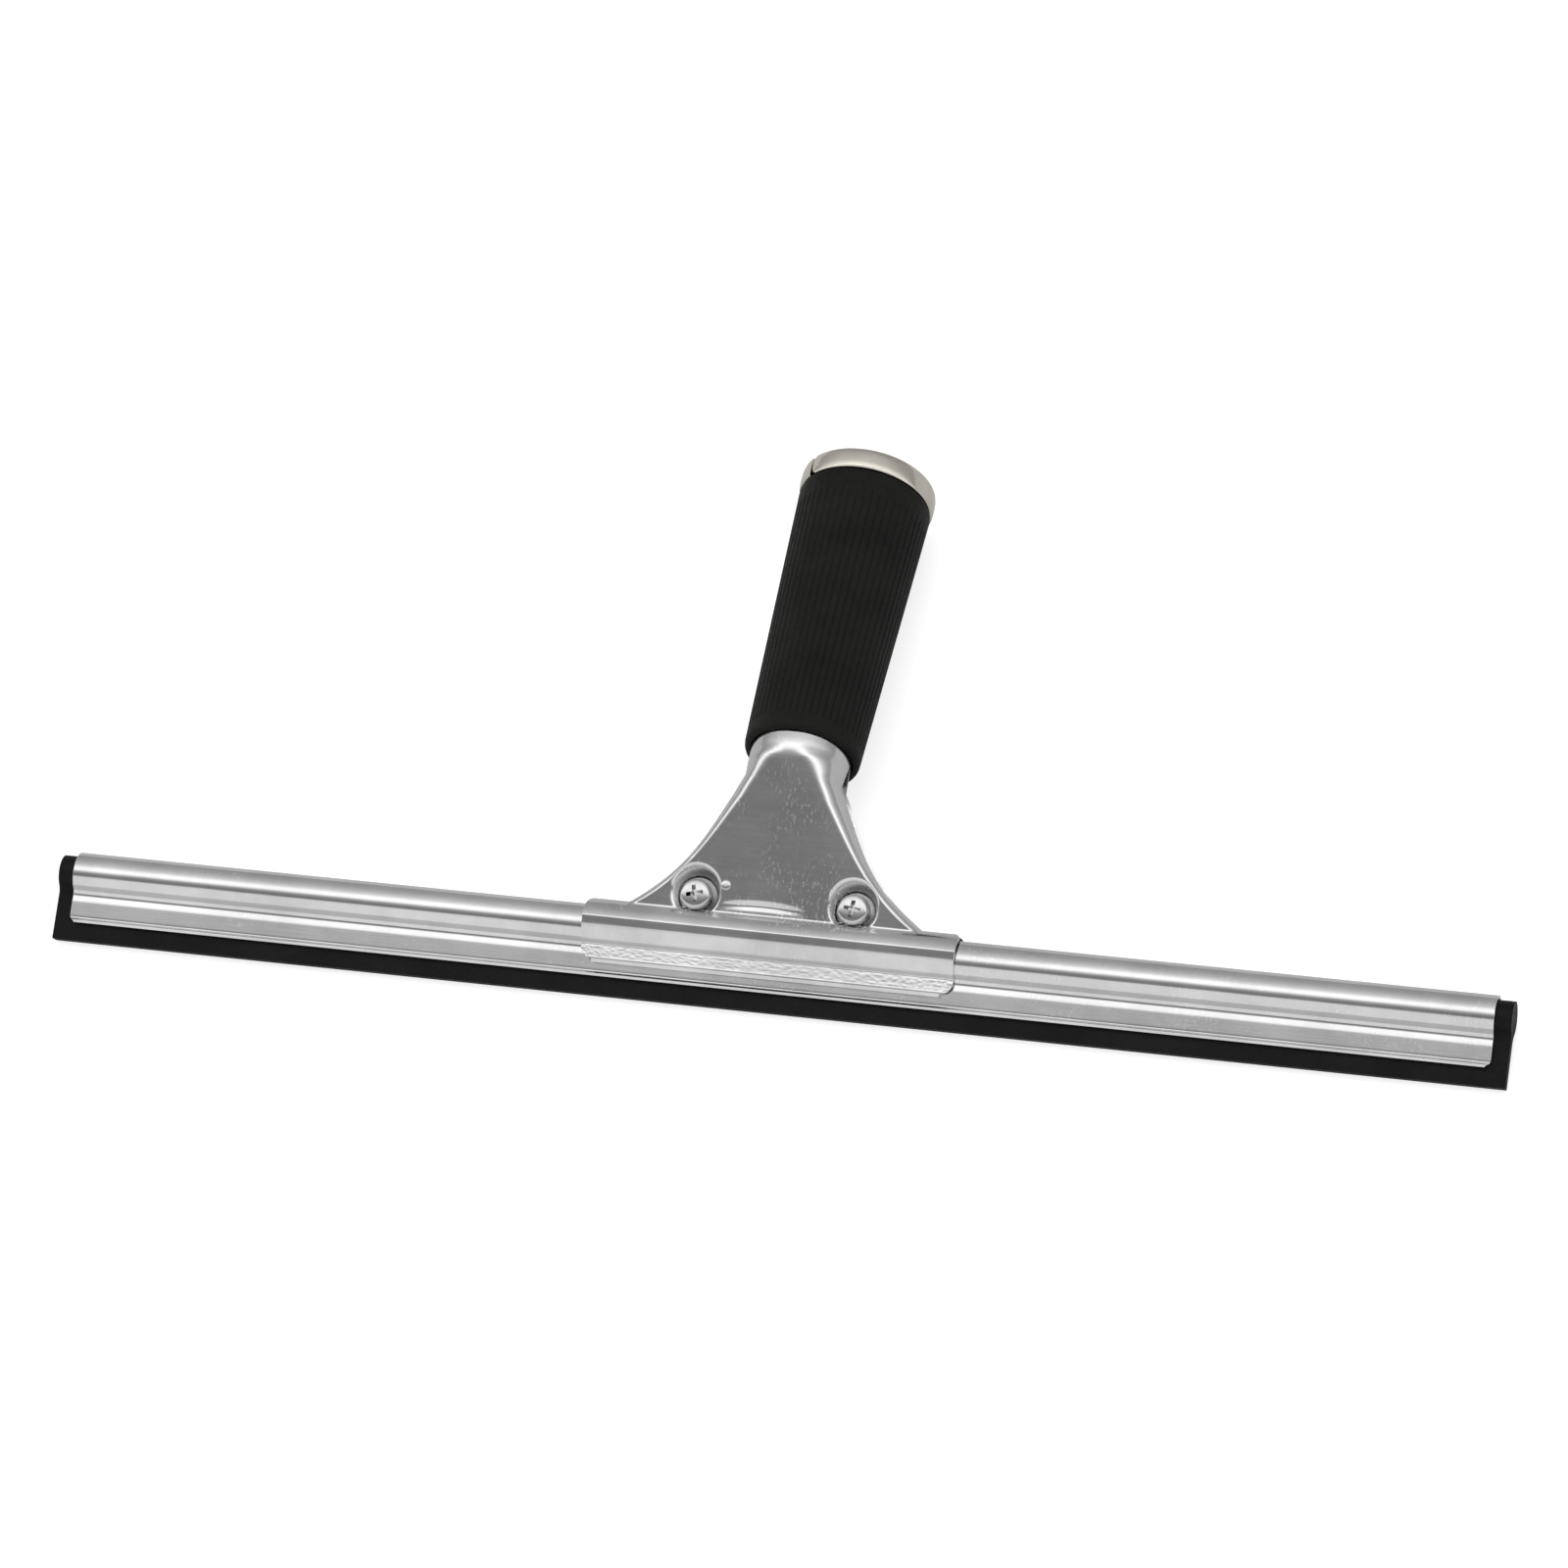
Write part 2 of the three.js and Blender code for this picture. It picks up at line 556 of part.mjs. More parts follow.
function rivet() {
  const reach = shellDepth(RIVET_HEIGHT) + RIVET_PROUD;
  const profile = [
    [0, -reach],
    [RIVET_RADIUS - RIVET_CHAMFER, -reach],
    [RIVET_RADIUS, -reach + RIVET_CHAMFER],
    [RIVET_RADIUS, reach - RIVET_CHAMFER],
    [RIVET_RADIUS - RIVET_CHAMFER, reach],
    [0, reach],
  ].map(([r, y]) => new THREE.Vector2(r, y));
  return new THREE.LatheGeometry(profile, SMALL_SEGMENTS / 2).rotateX(Math.PI / 2);
}

// ---- Assembly ------------------------------------------------------------------------------------
const tool = new THREE.Group();
addPart(tool, "front_shell", shell(1), stamped);
addPart(tool, "rear_shell", shell(-1), stamped);
addPart(tool, "channel", channel(), steel);
addPart(tool, "rubber_blade", rubberBlade(), bladeRubber);
for (const [where, side] of [["left", -1], ["right", 1]]) {
  const station = new THREE.Group();
  station.position.set((side * SCREW_SPACING) / 2, SCREW_HEIGHT, 0);
  addPart(station, `screw_${where}`, screw(), zinc);
  addPart(station, `washer_${where}`, washer(), zinc);
  addPart(station, `nut_${where}`, nut(), zinc);
  tool.add(station);
}
addPart(tool, "locating_rivet", rivet(), zinc).position.set(RIVET_X, RIVET_HEIGHT, 0);

const handle = new THREE.Group();
handle.position.y = HANDLE_ROOT;
handle.rotation.x = -HANDLE_LEAN;
addPart(handle, "grip_sleeve", gripSleeve(), gripRubber);
addPart(handle, "end_ring", endRing(), ringSteel);
tool.add(handle);

// The tool lies on the rear jaw's lip and the end ring, so it turns by the slope between them.
const ringRadius = socketRadius(RING_END) + GRIP_CLEARANCE + RING_WALL;
const ringFoot = new THREE.Vector2(RING_END, -ringRadius).rotateAround(new THREE.Vector2(), -HANDLE_LEAN);
ringFoot.x += HANDLE_ROOT;
const jawFoot = new THREE.Vector2(JAW_BOTTOM, -(STEM_HALF + JAW_OUTSIDE + JAW_LIP_FLARE));
tool.rotation.x = -Math.atan2(ringFoot.y - jawFoot.y, ringFoot.x - jawFoot.x);

// The origin is the middle of the bounding box's bottom face.
const box = new THREE.Box3().setFromObject(tool, true);
const middle = box.getCenter(new THREE.Vector3());
tool.position.set(-middle.x, -middle.y, -box.min.z);

const squeegee = new THREE.Group();
squeegee.add(tool);

export default squeegee;
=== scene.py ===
"""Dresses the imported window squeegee: fine meshes and finishes for every part, a pale stage and a camera.

Every mesh is built in millimetres in the tool's own frame (X along the blade, Y up from the wiping edge,
Z out of the front) or in the handle's frame (Y along the handle), and is then placed where the frame says.
"""

import json
import logging
import math
from dataclasses import dataclass, field, replace
from enum import Enum
from typing import Callable, Sequence

import bmesh
import bpy
import numpy as np
from mathutils import Matrix, Vector, noise


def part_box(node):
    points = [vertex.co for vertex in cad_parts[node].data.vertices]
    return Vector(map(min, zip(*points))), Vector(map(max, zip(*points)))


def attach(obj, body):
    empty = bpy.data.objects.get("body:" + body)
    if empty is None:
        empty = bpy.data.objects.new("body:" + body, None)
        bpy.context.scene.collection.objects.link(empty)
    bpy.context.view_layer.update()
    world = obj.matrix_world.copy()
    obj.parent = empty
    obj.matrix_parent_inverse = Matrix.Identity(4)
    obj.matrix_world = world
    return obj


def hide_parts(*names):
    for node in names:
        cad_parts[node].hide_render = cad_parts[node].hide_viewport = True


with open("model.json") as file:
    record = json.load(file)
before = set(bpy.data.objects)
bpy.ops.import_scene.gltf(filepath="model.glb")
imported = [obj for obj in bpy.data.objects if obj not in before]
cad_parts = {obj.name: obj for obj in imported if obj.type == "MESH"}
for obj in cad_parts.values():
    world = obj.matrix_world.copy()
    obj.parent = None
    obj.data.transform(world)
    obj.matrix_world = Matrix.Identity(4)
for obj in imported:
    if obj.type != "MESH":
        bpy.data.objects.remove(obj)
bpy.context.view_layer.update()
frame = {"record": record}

MM = 0.001
TAU = 2 * math.pi

log = logging.getLogger("squeegee")

Point = tuple[float, float]
Faces = list[tuple[int, ...]]


# ---- Places ---------------------------------------------------------------------------------------
def place_of(origin: Vector, up: Vector) -> Matrix:
    """Makes the matrix from a part's own frame, in millimetres, to the row frame.

    Args:
        origin: Where the part's origin lies, in metres.
        up: Direction of the part's +Y, square to X.

    Returns:
        The 4x4 matrix.
    """
    across = Vector((1, 0, 0))
    up = up.normalized()
    turn = Matrix((across, up, across.cross(up))).transposed().to_4x4()
    return Matrix.Translation(origin) @ turn @ Matrix.Scale(MM, 4)


def mount_named(name: str) -> dict:
    """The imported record's mount of that name."""
    return next(m for m in frame["record"]["mounts"] if m["name"] == name)


def span(node: str, axis: int) -> float:
    """Length of a node's box along one axis, in millimetres."""
    low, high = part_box(node)
    return (high[axis] - low[axis]) / MM


def middle(node: str) -> Vector:
    """Middle of a node's box, in metres."""
    low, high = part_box(node)
    return (low + high) / 2


def tool_place() -> Matrix:
    """The tool's frame, whose origin is the middle of the wiping edge."""
    edge = mount_named("wiping_edge")
    return place_of(Vector(edge["pos_m"]), -Vector(edge["axis"]))


def handle_place(length: float) -> Matrix:
    """The handle's frame, whose origin is on its axis, length millimetres before its open end."""
    end = mount_named("handle_end_face")
    axis = Vector(end["axis"]).normalized()
    centre = Vector((0, end["pos_m"][1], end["pos_m"][2]))
    return place_of(centre - axis * length * MM, axis)


# ---- Mesh tools -----------------------------------------------------------------------------------
def smoothstep(value: np.ndarray | float, low: float, high: float) -> np.ndarray | float:
    """0 below low, 1 above high and a smooth rise between them."""
    t = np.clip((value - low) / (high - low), 0, 1)
    return t * t * (3 - 2 * t)


def soft_max(a: np.ndarray, b: np.ndarray, reach: float) -> np.ndarray:
    """The larger of two heights, with the crease between them filled over that reach."""
    h = np.clip(0.5 + 0.5 * (a - b) / reach, 0, 1)
    return b + (a - b) * h + reach * h * (1 - h)


def soft_min(a: np.ndarray, b: np.ndarray, reach: float) -> np.ndarray:
    """The smaller of two heights, with the edge between them rounded over that reach."""
    return -soft_max(-a, -b, reach)


def make_piece(name: str, points: np.ndarray, faces: Faces, place: Matrix,
               sharp: float = 40) -> bpy.types.Object:
    """Makes a mesh object at the origin with its vertices placed in the row frame.

    Args:
        name: The piece's name.
        points: N x 3 points in the part's own frame, in millimetres.
        faces: Corner indices of each face.
        place: Matrix from the part's frame to the row frame.
        sharp: Edges that turn by more than this many degrees stay crisp.

    Returns:
        The new object.
    """
    mesh = bpy.data.meshes.new(name)
    mesh.from_pydata([place @ Vector(p) for p in points.tolist()], [], faces)
    build = bmesh.new()
    build.from_mesh(mesh)
    bmesh.ops.remove_doubles(build, verts=build.verts, dist=1e-7)
    bmesh.ops.recalc_face_normals(build, faces=build.faces)
    soften(build, sharp)
    build.to_mesh(mesh)
    build.free()
    piece = bpy.data.objects.new(name, mesh)
    bpy.context.scene.collection.objects.link(piece)
    return piece


def soften(build: bmesh.types.BMesh, sharp: float) -> None:
    """Shades every face smooth and marks the edges that turn by more than sharp degrees."""
    limit = math.radians(sharp)
    for face in build.faces:
        face.smooth = True
    for edge in build.edges:
        if len(edge.link_faces) == 2:
            edge.smooth = edge.calc_face_angle(0) < limit


def grid_faces(rows: int, columns: int, ring: bool = False, closed: bool = False) -> Faces:
    """Quads between rows of equal count.

    Args:
        rows: Number of rows.
        columns: Points in each row.
        ring: Whether each row closes on itself.
        closed: Whether the last row joins the first.

    Returns:
        The faces.
    """
    faces = []
    for r in range(rows if closed else rows - 1):
        below, above = r * columns, ((r + 1) % rows) * columns
        for c in range(columns if ring else columns - 1):
            d = (c + 1) % columns
            faces.append((below + c, below + d, above + d, above + c))
    return faces


def sheet_caps(rows: int, loop: int) -> Faces:
    """End faces of a swept sheet whose loop runs out along one side and back along the other."""
    half = loop // 2
    last = (rows - 1) * loop
    caps = []
    for c in range(half - 1):
        across = (c, loop - 1 - c, loop - 2 - c, c + 1)
        caps.append(across)
        caps.append(tuple(last + i for i in reversed(across)))
    return caps


def add_bevel(piece: bpy.types.Object, width: float, segments: int = 2, angle: float = 50) -> None:
    """Rounds the piece's crisp edges by width millimetres."""
    bevel = piece.modifiers.new("edge", "BEVEL")
    bevel.width = width * MM
    bevel.segments = segments
    bevel.limit_method = "ANGLE"
    bevel.angle_limit = math.radians(angle)
    bevel.harden_normals = False


def lathe(name: str, profile: Sequence[Point], place: Matrix, segments: int = 96) -> bpy.types.Object:
    """Turns a profile of (radius, height) points about +Z; it ends on the axis or closes on itself."""
    turns = np.arange(segments) * TAU / segments
    points = [
        (r * math.cos(a), r * math.sin(a), z) for a in turns for r, z in profile
    ]
    faces = grid_faces(segments, len(profile), closed=True)
    if min(r for r, _ in profile) > 0:
        faces = grid_faces(segments, len(profile), ring=True, closed=True)
    return make_piece(name, np.array(points), faces, place)


def rounded(start: Point, corner: Point, end: Point, steps: int = 4) -> list[Point]:
    """Points of a smooth turn from start to end round a corner."""
    turn = []
    for i in range(steps + 1):
        t = i / steps
        a, b, c = (1 - t) ** 2, 2 * t * (1 - t), t * t
        turn.append(tuple(a * s + b * k + c * e for s, k, e in zip(start, corner, end)))
    return turn


# ---- Node tools -----------------------------------------------------------------------------------
class Effect:
    """A shader node group with named inputs and outputs, made once."""

    def __init__(self, name: str, inputs: dict[str, float], outputs: dict[str, str]) -> None:
        """Makes the group and its sockets.

        Args:
            name: The group's name.
            inputs: Each number that a material sets, with its default.
            outputs: Each output and its socket type.
        """
        self.tree = bpy.data.node_groups.new(name, "ShaderNodeTree")
        for label, default in inputs.items():
            socket = self.tree.interface.new_socket(label, in_out="INPUT", socket_type="NodeSocketFloat")
            socket.default_value = default
        for label, kind in outputs.items():
            self.tree.interface.new_socket(label, in_out="OUTPUT", socket_type=kind)
        self.source = self.tree.nodes.new("NodeGroupInput")
        self.sink = self.tree.nodes.new("NodeGroupOutput")

    def node(self, kind: str, **settings: object) -> bpy.types.Node:
        """Adds a node with those settings."""
        return add_node(self.tree, kind, **settings)

    def link(self, start: bpy.types.NodeSocket, end: bpy.types.NodeSocket) -> None:
        """Joins two sockets."""
        self.tree.links.new(start, end)


def add_node(tree: bpy.types.NodeTree, kind: str, **settings: object) -> bpy.types.Node:
    """Adds a node; a setting that names no property of the node sets the input of that name."""
    node = tree.nodes.new(kind)
    for key, value in settings.items():
        if hasattr(node, key):
            setattr(node, key, value)
        else:
            node.inputs[key.replace("_", " ")].default_value = value
    return node


def stretched_noise(effect: Effect, stretch: tuple[float, float, float], scale: bpy.types.NodeSocket,
                    detail: float) -> bpy.types.NodeSocket:
    """Noise over the piece's own coordinates, stretched along the axes, inside an effect.

    Args:
        effect: The group it is added to.
        stretch: Scale along X, Y and Z.
        scale: Socket that gives the noise's scale.
        detail: Octaves of the noise.

    Returns:
        The noise's value socket.
    """
    where = effect.node("ShaderNodeTexCoord")
    mapping = effect.node("ShaderNodeMapping")
    mapping.inputs["Scale"].default_value = stretch
    texture = effect.node("ShaderNodeTexNoise", Detail=detail, Roughness=0.6)
    effect.link(where.outputs["Object"], mapping.inputs["Vector"])
    effect.link(mapping.outputs["Vector"], texture.inputs["Vector"])
    effect.link(scale, texture.inputs["Scale"])
    return texture.outputs["Fac"]


def ranged(effect: Effect, value: bpy.types.NodeSocket, low: float, high: float) -> bpy.types.NodeSocket:
    """The value spread from low..high to 0..1 and clamped."""
    spread = effect.node("ShaderNodeMapRange")
    spread.inputs["From Min"].default_value = low
    spread.inputs["From Max"].default_value = high
    effect.link(value, spread.inputs["Value"])
    return spread.outputs["Result"]


class Grain(Enum):
    """Direction of a sheet's brushing, as the noise's stretch along X, Y and Z."""

    ALONG_BLADE = (0.02, 1.0, 1.0)
    EVEN = (1.0, 1.0, 1.0)


def brushed_effect(grain: Grain) -> Effect:
    """Brushing: fine lines along one direction and slow cloudy changes."""
    effect = Effect(f"brushed_{grain.name.lower()}", {"Scale": 4000.0, "Cloud Scale": 60.0},
                    {"Grain": "NodeSocketFloat", "Cloud": "NodeSocketFloat"})
    fine = stretched_noise(effect, grain.value, effect.source.outputs["Scale"], 3.0)
    cloud = stretched_noise(effect, (1.0, 1.0, 1.0), effect.source.outputs["Cloud Scale"], 4.0)
    effect.link(ranged(effect, fine, 0.3, 0.7), effect.sink.inputs["Grain"])
    effect.link(ranged(effect, cloud, 0.35, 0.65), effect.sink.inputs["Cloud"])
    return effect


def fleck_effect() -> Effect:
    """Flecks: short bright scratches gathered in patches."""
    effect = Effect("scratch_flecks", {"Scale": 1500.0, "Patch Scale": 55.0, "Amount": 0.5},
                    {"Fleck": "NodeSocketFloat"})
    fine = stretched_noise(effect, (1.0, 0.45, 0.45), effect.source.outputs["Scale"], 2.0)
    patch = stretched_noise(effect, (1.0, 1.0, 1.0), effect.source.outputs["Patch Scale"], 3.0)
    mask = effect.node("ShaderNodeMath", operation="MULTIPLY")
    amount = effect.node("ShaderNodeMath", operation="MULTIPLY")
    effect.link(ranged(effect, fine, 0.56, 0.66), mask.inputs[0])
    effect.link(ranged(effect, patch, 0.47, 0.6), mask.inputs[1])
    effect.link(mask.outputs[0], amount.inputs[0])
    effect.link(effect.source.outputs["Amount"], amount.inputs[1])
    effect.link(amount.outputs[0], effect.sink.inputs["Fleck"])
    return effect


def pebble_effect() -> Effect:
    """Pebbles: the small bumps that a press or a mould leaves."""
    effect = Effect("pebbles", {"Scale": 900.0}, {"Height": "NodeSocketFloat", "Speck": "NodeSocketFloat"})
    bumps = stretched_noise(effect, (0.7, 1.0, 1.0), effect.source.outputs["Scale"], 2.0)
    effect.link(ranged(effect, bumps, 0.25, 0.75), effect.sink.inputs["Height"])
    effect.link(ranged(effect, bumps, 0.66, 0.74), effect.sink.inputs["Speck"])
    return effect


class Effects:
    """The shared effects, each built the first time a finish asks for it."""

    def __init__(self) -> None:
        """Starts with none built."""
        self.built: dict[str, Effect] = {}

    def get(self, key: str, make: Callable[[], Effect]) -> bpy.types.NodeTree:
        """The node tree of the effect named key, made by make if it isn't there yet."""
        if key not in self.built:
            self.built[key] = make()
        return self.built[key].tree


EFFECTS = Effects()


def placed(tree: bpy.types.NodeTree, group: bpy.types.NodeTree, **values: float) -> bpy.types.Node:
    """Adds a group node with its own values to a material."""
    node = tree.nodes.new("ShaderNodeGroup")
    node.node_tree = group
    for key, value in values.items():
        node.inputs[key.replace("_", " ")].default_value = value
    return node


def new_material(name: str) -> tuple[bpy.types.Material, bpy.types.NodeTree, bpy.types.Node]:
    """A node material with its tree and its Principled BSDF."""
    material = bpy.data.materials.new(name)
    material.use_nodes = True
    tree = material.node_tree
    return material, tree, tree.nodes["Principled BSDF"]


def between(tree: bpy.types.NodeTree, factor: bpy.types.NodeSocket, low: float,
            high: float) -> bpy.types.NodeSocket:
    """A number that goes from low to high with the factor."""
    spread = add_node(tree, "ShaderNodeMapRange", To_Min=low, To_Max=high)
    tree.links.new(factor, spread.inputs["Value"])
    return spread.outputs["Result"]


def tinted(tree: bpy.types.NodeTree, factor: bpy.types.NodeSocket,
           first: Sequence[float] | bpy.types.NodeSocket, second: Sequence[float]) -> bpy.types.NodeSocket:
    """A colour that goes from the first to the second with the factor.

    Args:
        tree: The material's tree.
        factor: Socket of the factor.
        first: A colour or a colour's socket.
        second: A colour.

    Returns:
        The mixed colour's socket.
    """
    mix = add_node(tree, "ShaderNodeMix", data_type="RGBA")
    tree.links.new(factor, mix.inputs["Factor"])
    if isinstance(first, bpy.types.NodeSocket):
        tree.links.new(first, mix.inputs["A"])
    else:
        mix.inputs["A"].default_value = (*first, 1)
    mix.inputs["B"].default_value = (*second, 1)
    return mix.outputs["Result"]


@dataclass(frozen=True)
class SheetSteel:
    """Brushed or stamped steel: grain, clouds and scratch flecks over a metal base."""

    name: str
    slot: str
    colour: tuple[float, float, float] = (0.70, 0.70, 0.70)
    dull: tuple[float, float, float] = (0.52, 0.52, 0.52)
    bright: tuple[float, float, float] = (0.95, 0.95, 0.95)
    roughness: tuple[float, float] = (0.2, 0.34)
    grain: Grain = Grain.ALONG_BLADE
    grain_scale: float = 4000.0
    grain_height: float = 0.004
    flecks: float = 0.4
    fleck_scale: float = 1500.0
    fleck_height: float = 0.02

    def build(self) -> bpy.types.Material:
        """Makes the material."""
        material, tree, shader = new_material(self.name)
        shader.inputs["Metallic"].default_value = 1.0
        brushed = placed(tree, EFFECTS.get(self.grain.name, lambda: brushed_effect(self.grain)),
                         Scale=self.grain_scale)
        flecks = placed(tree, EFFECTS.get("flecks", fleck_effect), Amount=self.flecks, Scale=self.fleck_scale)
        base = tinted(tree, brushed.outputs["Cloud"], self.colour, self.dull)
        tree.links.new(tinted(tree, flecks.outputs["Fleck"], base, self.bright), shader.inputs["Base Color"])
        tree.links.new(between(tree, brushed.outputs["Grain"], *self.roughness), shader.inputs["Roughness"])
        bump = add_node(tree, "ShaderNodeBump", Strength=1.0, Distance=self.grain_height * MM)
        tree.links.new(brushed.outputs["Grain"], bump.inputs["Height"])
        scratch = add_node(tree, "ShaderNodeBump", Strength=1.0, Distance=self.fleck_height * MM)
        tree.links.new(flecks.outputs["Fleck"], scratch.inputs["Height"])
        tree.links.new(bump.outputs["Normal"], scratch.inputs["Normal"])
        tree.links.new(scratch.outputs["Normal"], shader.inputs["Normal"])
        return material


@dataclass(frozen=True)
class MouldedRubber:
    """Matte black rubber with a fine pebbled skin and a little dust."""

    name: str
    slot: str
    colour: tuple[float, float, float] = (0.0035, 0.0035, 0.0032)
    dusty: tuple[float, float, float] = (0.007, 0.007, 0.0062)
    speck: tuple[float, float, float] = (0.016, 0.016, 0.015)
    roughness: tuple[float, float] = (0.5, 0.68)
    pebble_scale: float = 2600.0
    pebble_height: float = 0.02
    grain: Grain = Grain.EVEN
    grain_scale: float = 700.0
    specular: float = 0.14

    def build(self) -> bpy.types.Material:
        """Makes the material."""
        material, tree, shader = new_material(self.name)
        shader.inputs["Specular IOR Level"].default_value = self.specular
        pebbles = placed(tree, EFFECTS.get("pebbles", pebble_effect), Scale=self.pebble_scale)
        brushed = placed(tree, EFFECTS.get(self.grain.name, lambda: brushed_effect(self.grain)),
                         Scale=self.grain_scale)
        base = tinted(tree, brushed.outputs["Cloud"], self.colour, self.dusty)
        tree.links.new(tinted(tree, pebbles.outputs["Speck"], base, self.speck), shader.inputs["Base Color"])
        tree.links.new(between(tree, brushed.outputs["Grain"], *self.roughness), shader.inputs["Roughness"])
        bump = add_node(tree, "ShaderNodeBump", Strength=1.0, Distance=self.pebble_height * MM)
        tree.links.new(pebbles.outputs["Height"], bump.inputs["Height"])
        tree.links.new(bump.outputs["Normal"], shader.inputs["Normal"])
        return material


Finish = SheetSteel | MouldedRubber


def dress(piece: bpy.types.Object, finish: Finish, body: str, *nodes: str) -> bpy.types.Object:
    """Gives a piece its finish, its body and the CAD nodes that it stands for, and reports it.

    Args:
        piece: The object.
        finish: Its finish.
        body: The CAD body it moves with.
        *nodes: CAD nodes that it replaces.

    Returns:
        The piece.
    """
    material = bpy.data.materials.get(finish.name) or finish.build()
    piece.data.materials.clear()
    piece.data.materials.append(material)
    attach(piece, body)
    if nodes:
        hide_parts(*nodes)
    log.info("%s rides on %s, %d faces", piece.name, body, len(piece.data.polygons))
    return piece


# ---- Keyhole sections -----------------------------------------------------------------------------
@dataclass(frozen=True)
class Keyhole:
    """The blade's bead and stem and the fillets between them, which the sheets around it start from."""

    thickness: float = 3.0
    bead_height: float = 16.6
    bead_radius: float = 4.3
    fillet: float = 3.0
    fillet_steps: int = 8

    @property
    def half(self) -> float:
        """Half the stem's thickness."""
        return self.thickness / 2

    @property
    def fillet_centre(self) -> Point:
        """Centre of the fillet in front, as (Z, Y)."""
        reach = self.bead_radius + self.fillet
        offset = self.half + self.fillet
        return offset, self.bead_height - math.sqrt(reach**2 - offset**2)

    def front(self, end_angle: float, steps: int = 22) -> list[Point]:
        """Front side from the stem's top to an angle on the bead, as (Z, Y) points.

        Args:
            end_angle: Last angle on the bead, from +Z towards +Y, in radians.
            steps: Points along the bead.

        Returns:
            The points.
        """
        cz, cy = self.fillet_centre
        meet = math.atan2(cy - self.bead_height, cz)
        curve = []
        for i in range(self.fillet_steps + 1):
            angle = math.pi + meet * i / self.fillet_steps
            curve.append((cz + self.fillet * math.cos(angle), cy + self.fillet * math.sin(angle)))
        radius = self.bead_radius
        for i in range(1, steps + 1):
            angle = meet + (end_angle - meet) * i / steps
            curve.append((radius * math.cos(angle), self.bead_height + radius * math.sin(angle)))
        return curve


def corner_cut(y: float, edge: float, radius: float, inward: float) -> float:
    """How much a rounded corner shortens a sheet at height y.

    Args:
        y: The height.
        edge: Height of the edge where the corner ends.
        radius: The corner's radius.
        inward: 1 where the sheet lies above the edge, -1 where it lies below.

    Returns:
        The length cut from that end.
    """
    rise = (y - edge) * inward
    if rise >= radius:
        return 0.0
    return radius - math.sqrt(max(0.0, radius**2 - (radius - rise) ** 2))


Leg = tuple[float, float, float, int]


def walk(start: Point, legs: Sequence[Leg]) -> list[tuple[float, float, float]]:
    """Walks down a sheet's outer face by the way it faces.

    Args:
        start: The (Z, Y) point to start from.
        legs: Each leg's length, its first and last facing in degrees from +Z towards +Y, and its steps.

    Returns:
        (Z, Y, facing in radians) of each point.
    """
    z, y = start
    path = [(z, y, math.radians(legs[0][1]))]
    for length, first, last, steps in legs:
        for i in range(steps):
            middle_facing = math.radians(first + (last - first) * (i + 0.5) / steps)
            z += math.sin(middle_facing) * length / steps
            y -= math.cos(middle_facing) * length / steps
            path.append((z, y, math.radians(first + (last - first) * (i + 1) / steps)))
    return path


def sheet_sides(path: Sequence[tuple[float, float, float]], sheet: float) -> tuple[list[Point], list[Point]]:
    """Outer points of a walked face and the inner points one sheet's thickness behind them."""
    outer = [(z, y) for z, y, _ in path]
    inner = [(z - sheet * math.cos(a), y - sheet * math.sin(a)) for z, y, a in path]
    return outer, inner


def sweep_sheet(name: str, loop: Sequence[Point], reach: Callable[[float], float], place: Matrix,
                stations: int = 25) -> bpy.types.Object:
    """Sweeps a sheet's closed section along X, with its own length at each height.

    Args:
        name: The piece's name.
        loop: Closed (Z, Y) section that runs out along one face and back along the other.
        reach: Half-length of the sheet at a height.
        place: Matrix to the row frame.
        stations: Sections along the sheet.

    Returns:
        The new piece.
    """
    shares = np.sin(np.linspace(-math.pi / 2, math.pi / 2, stations))
    points = [(share * reach(y), y, z) for share in shares for z, y in loop]
    faces = grid_faces(stations, len(loop), ring=True) + sheet_caps(stations, len(loop))
    return make_piece(name, np.array(points), faces, place, sharp=35)


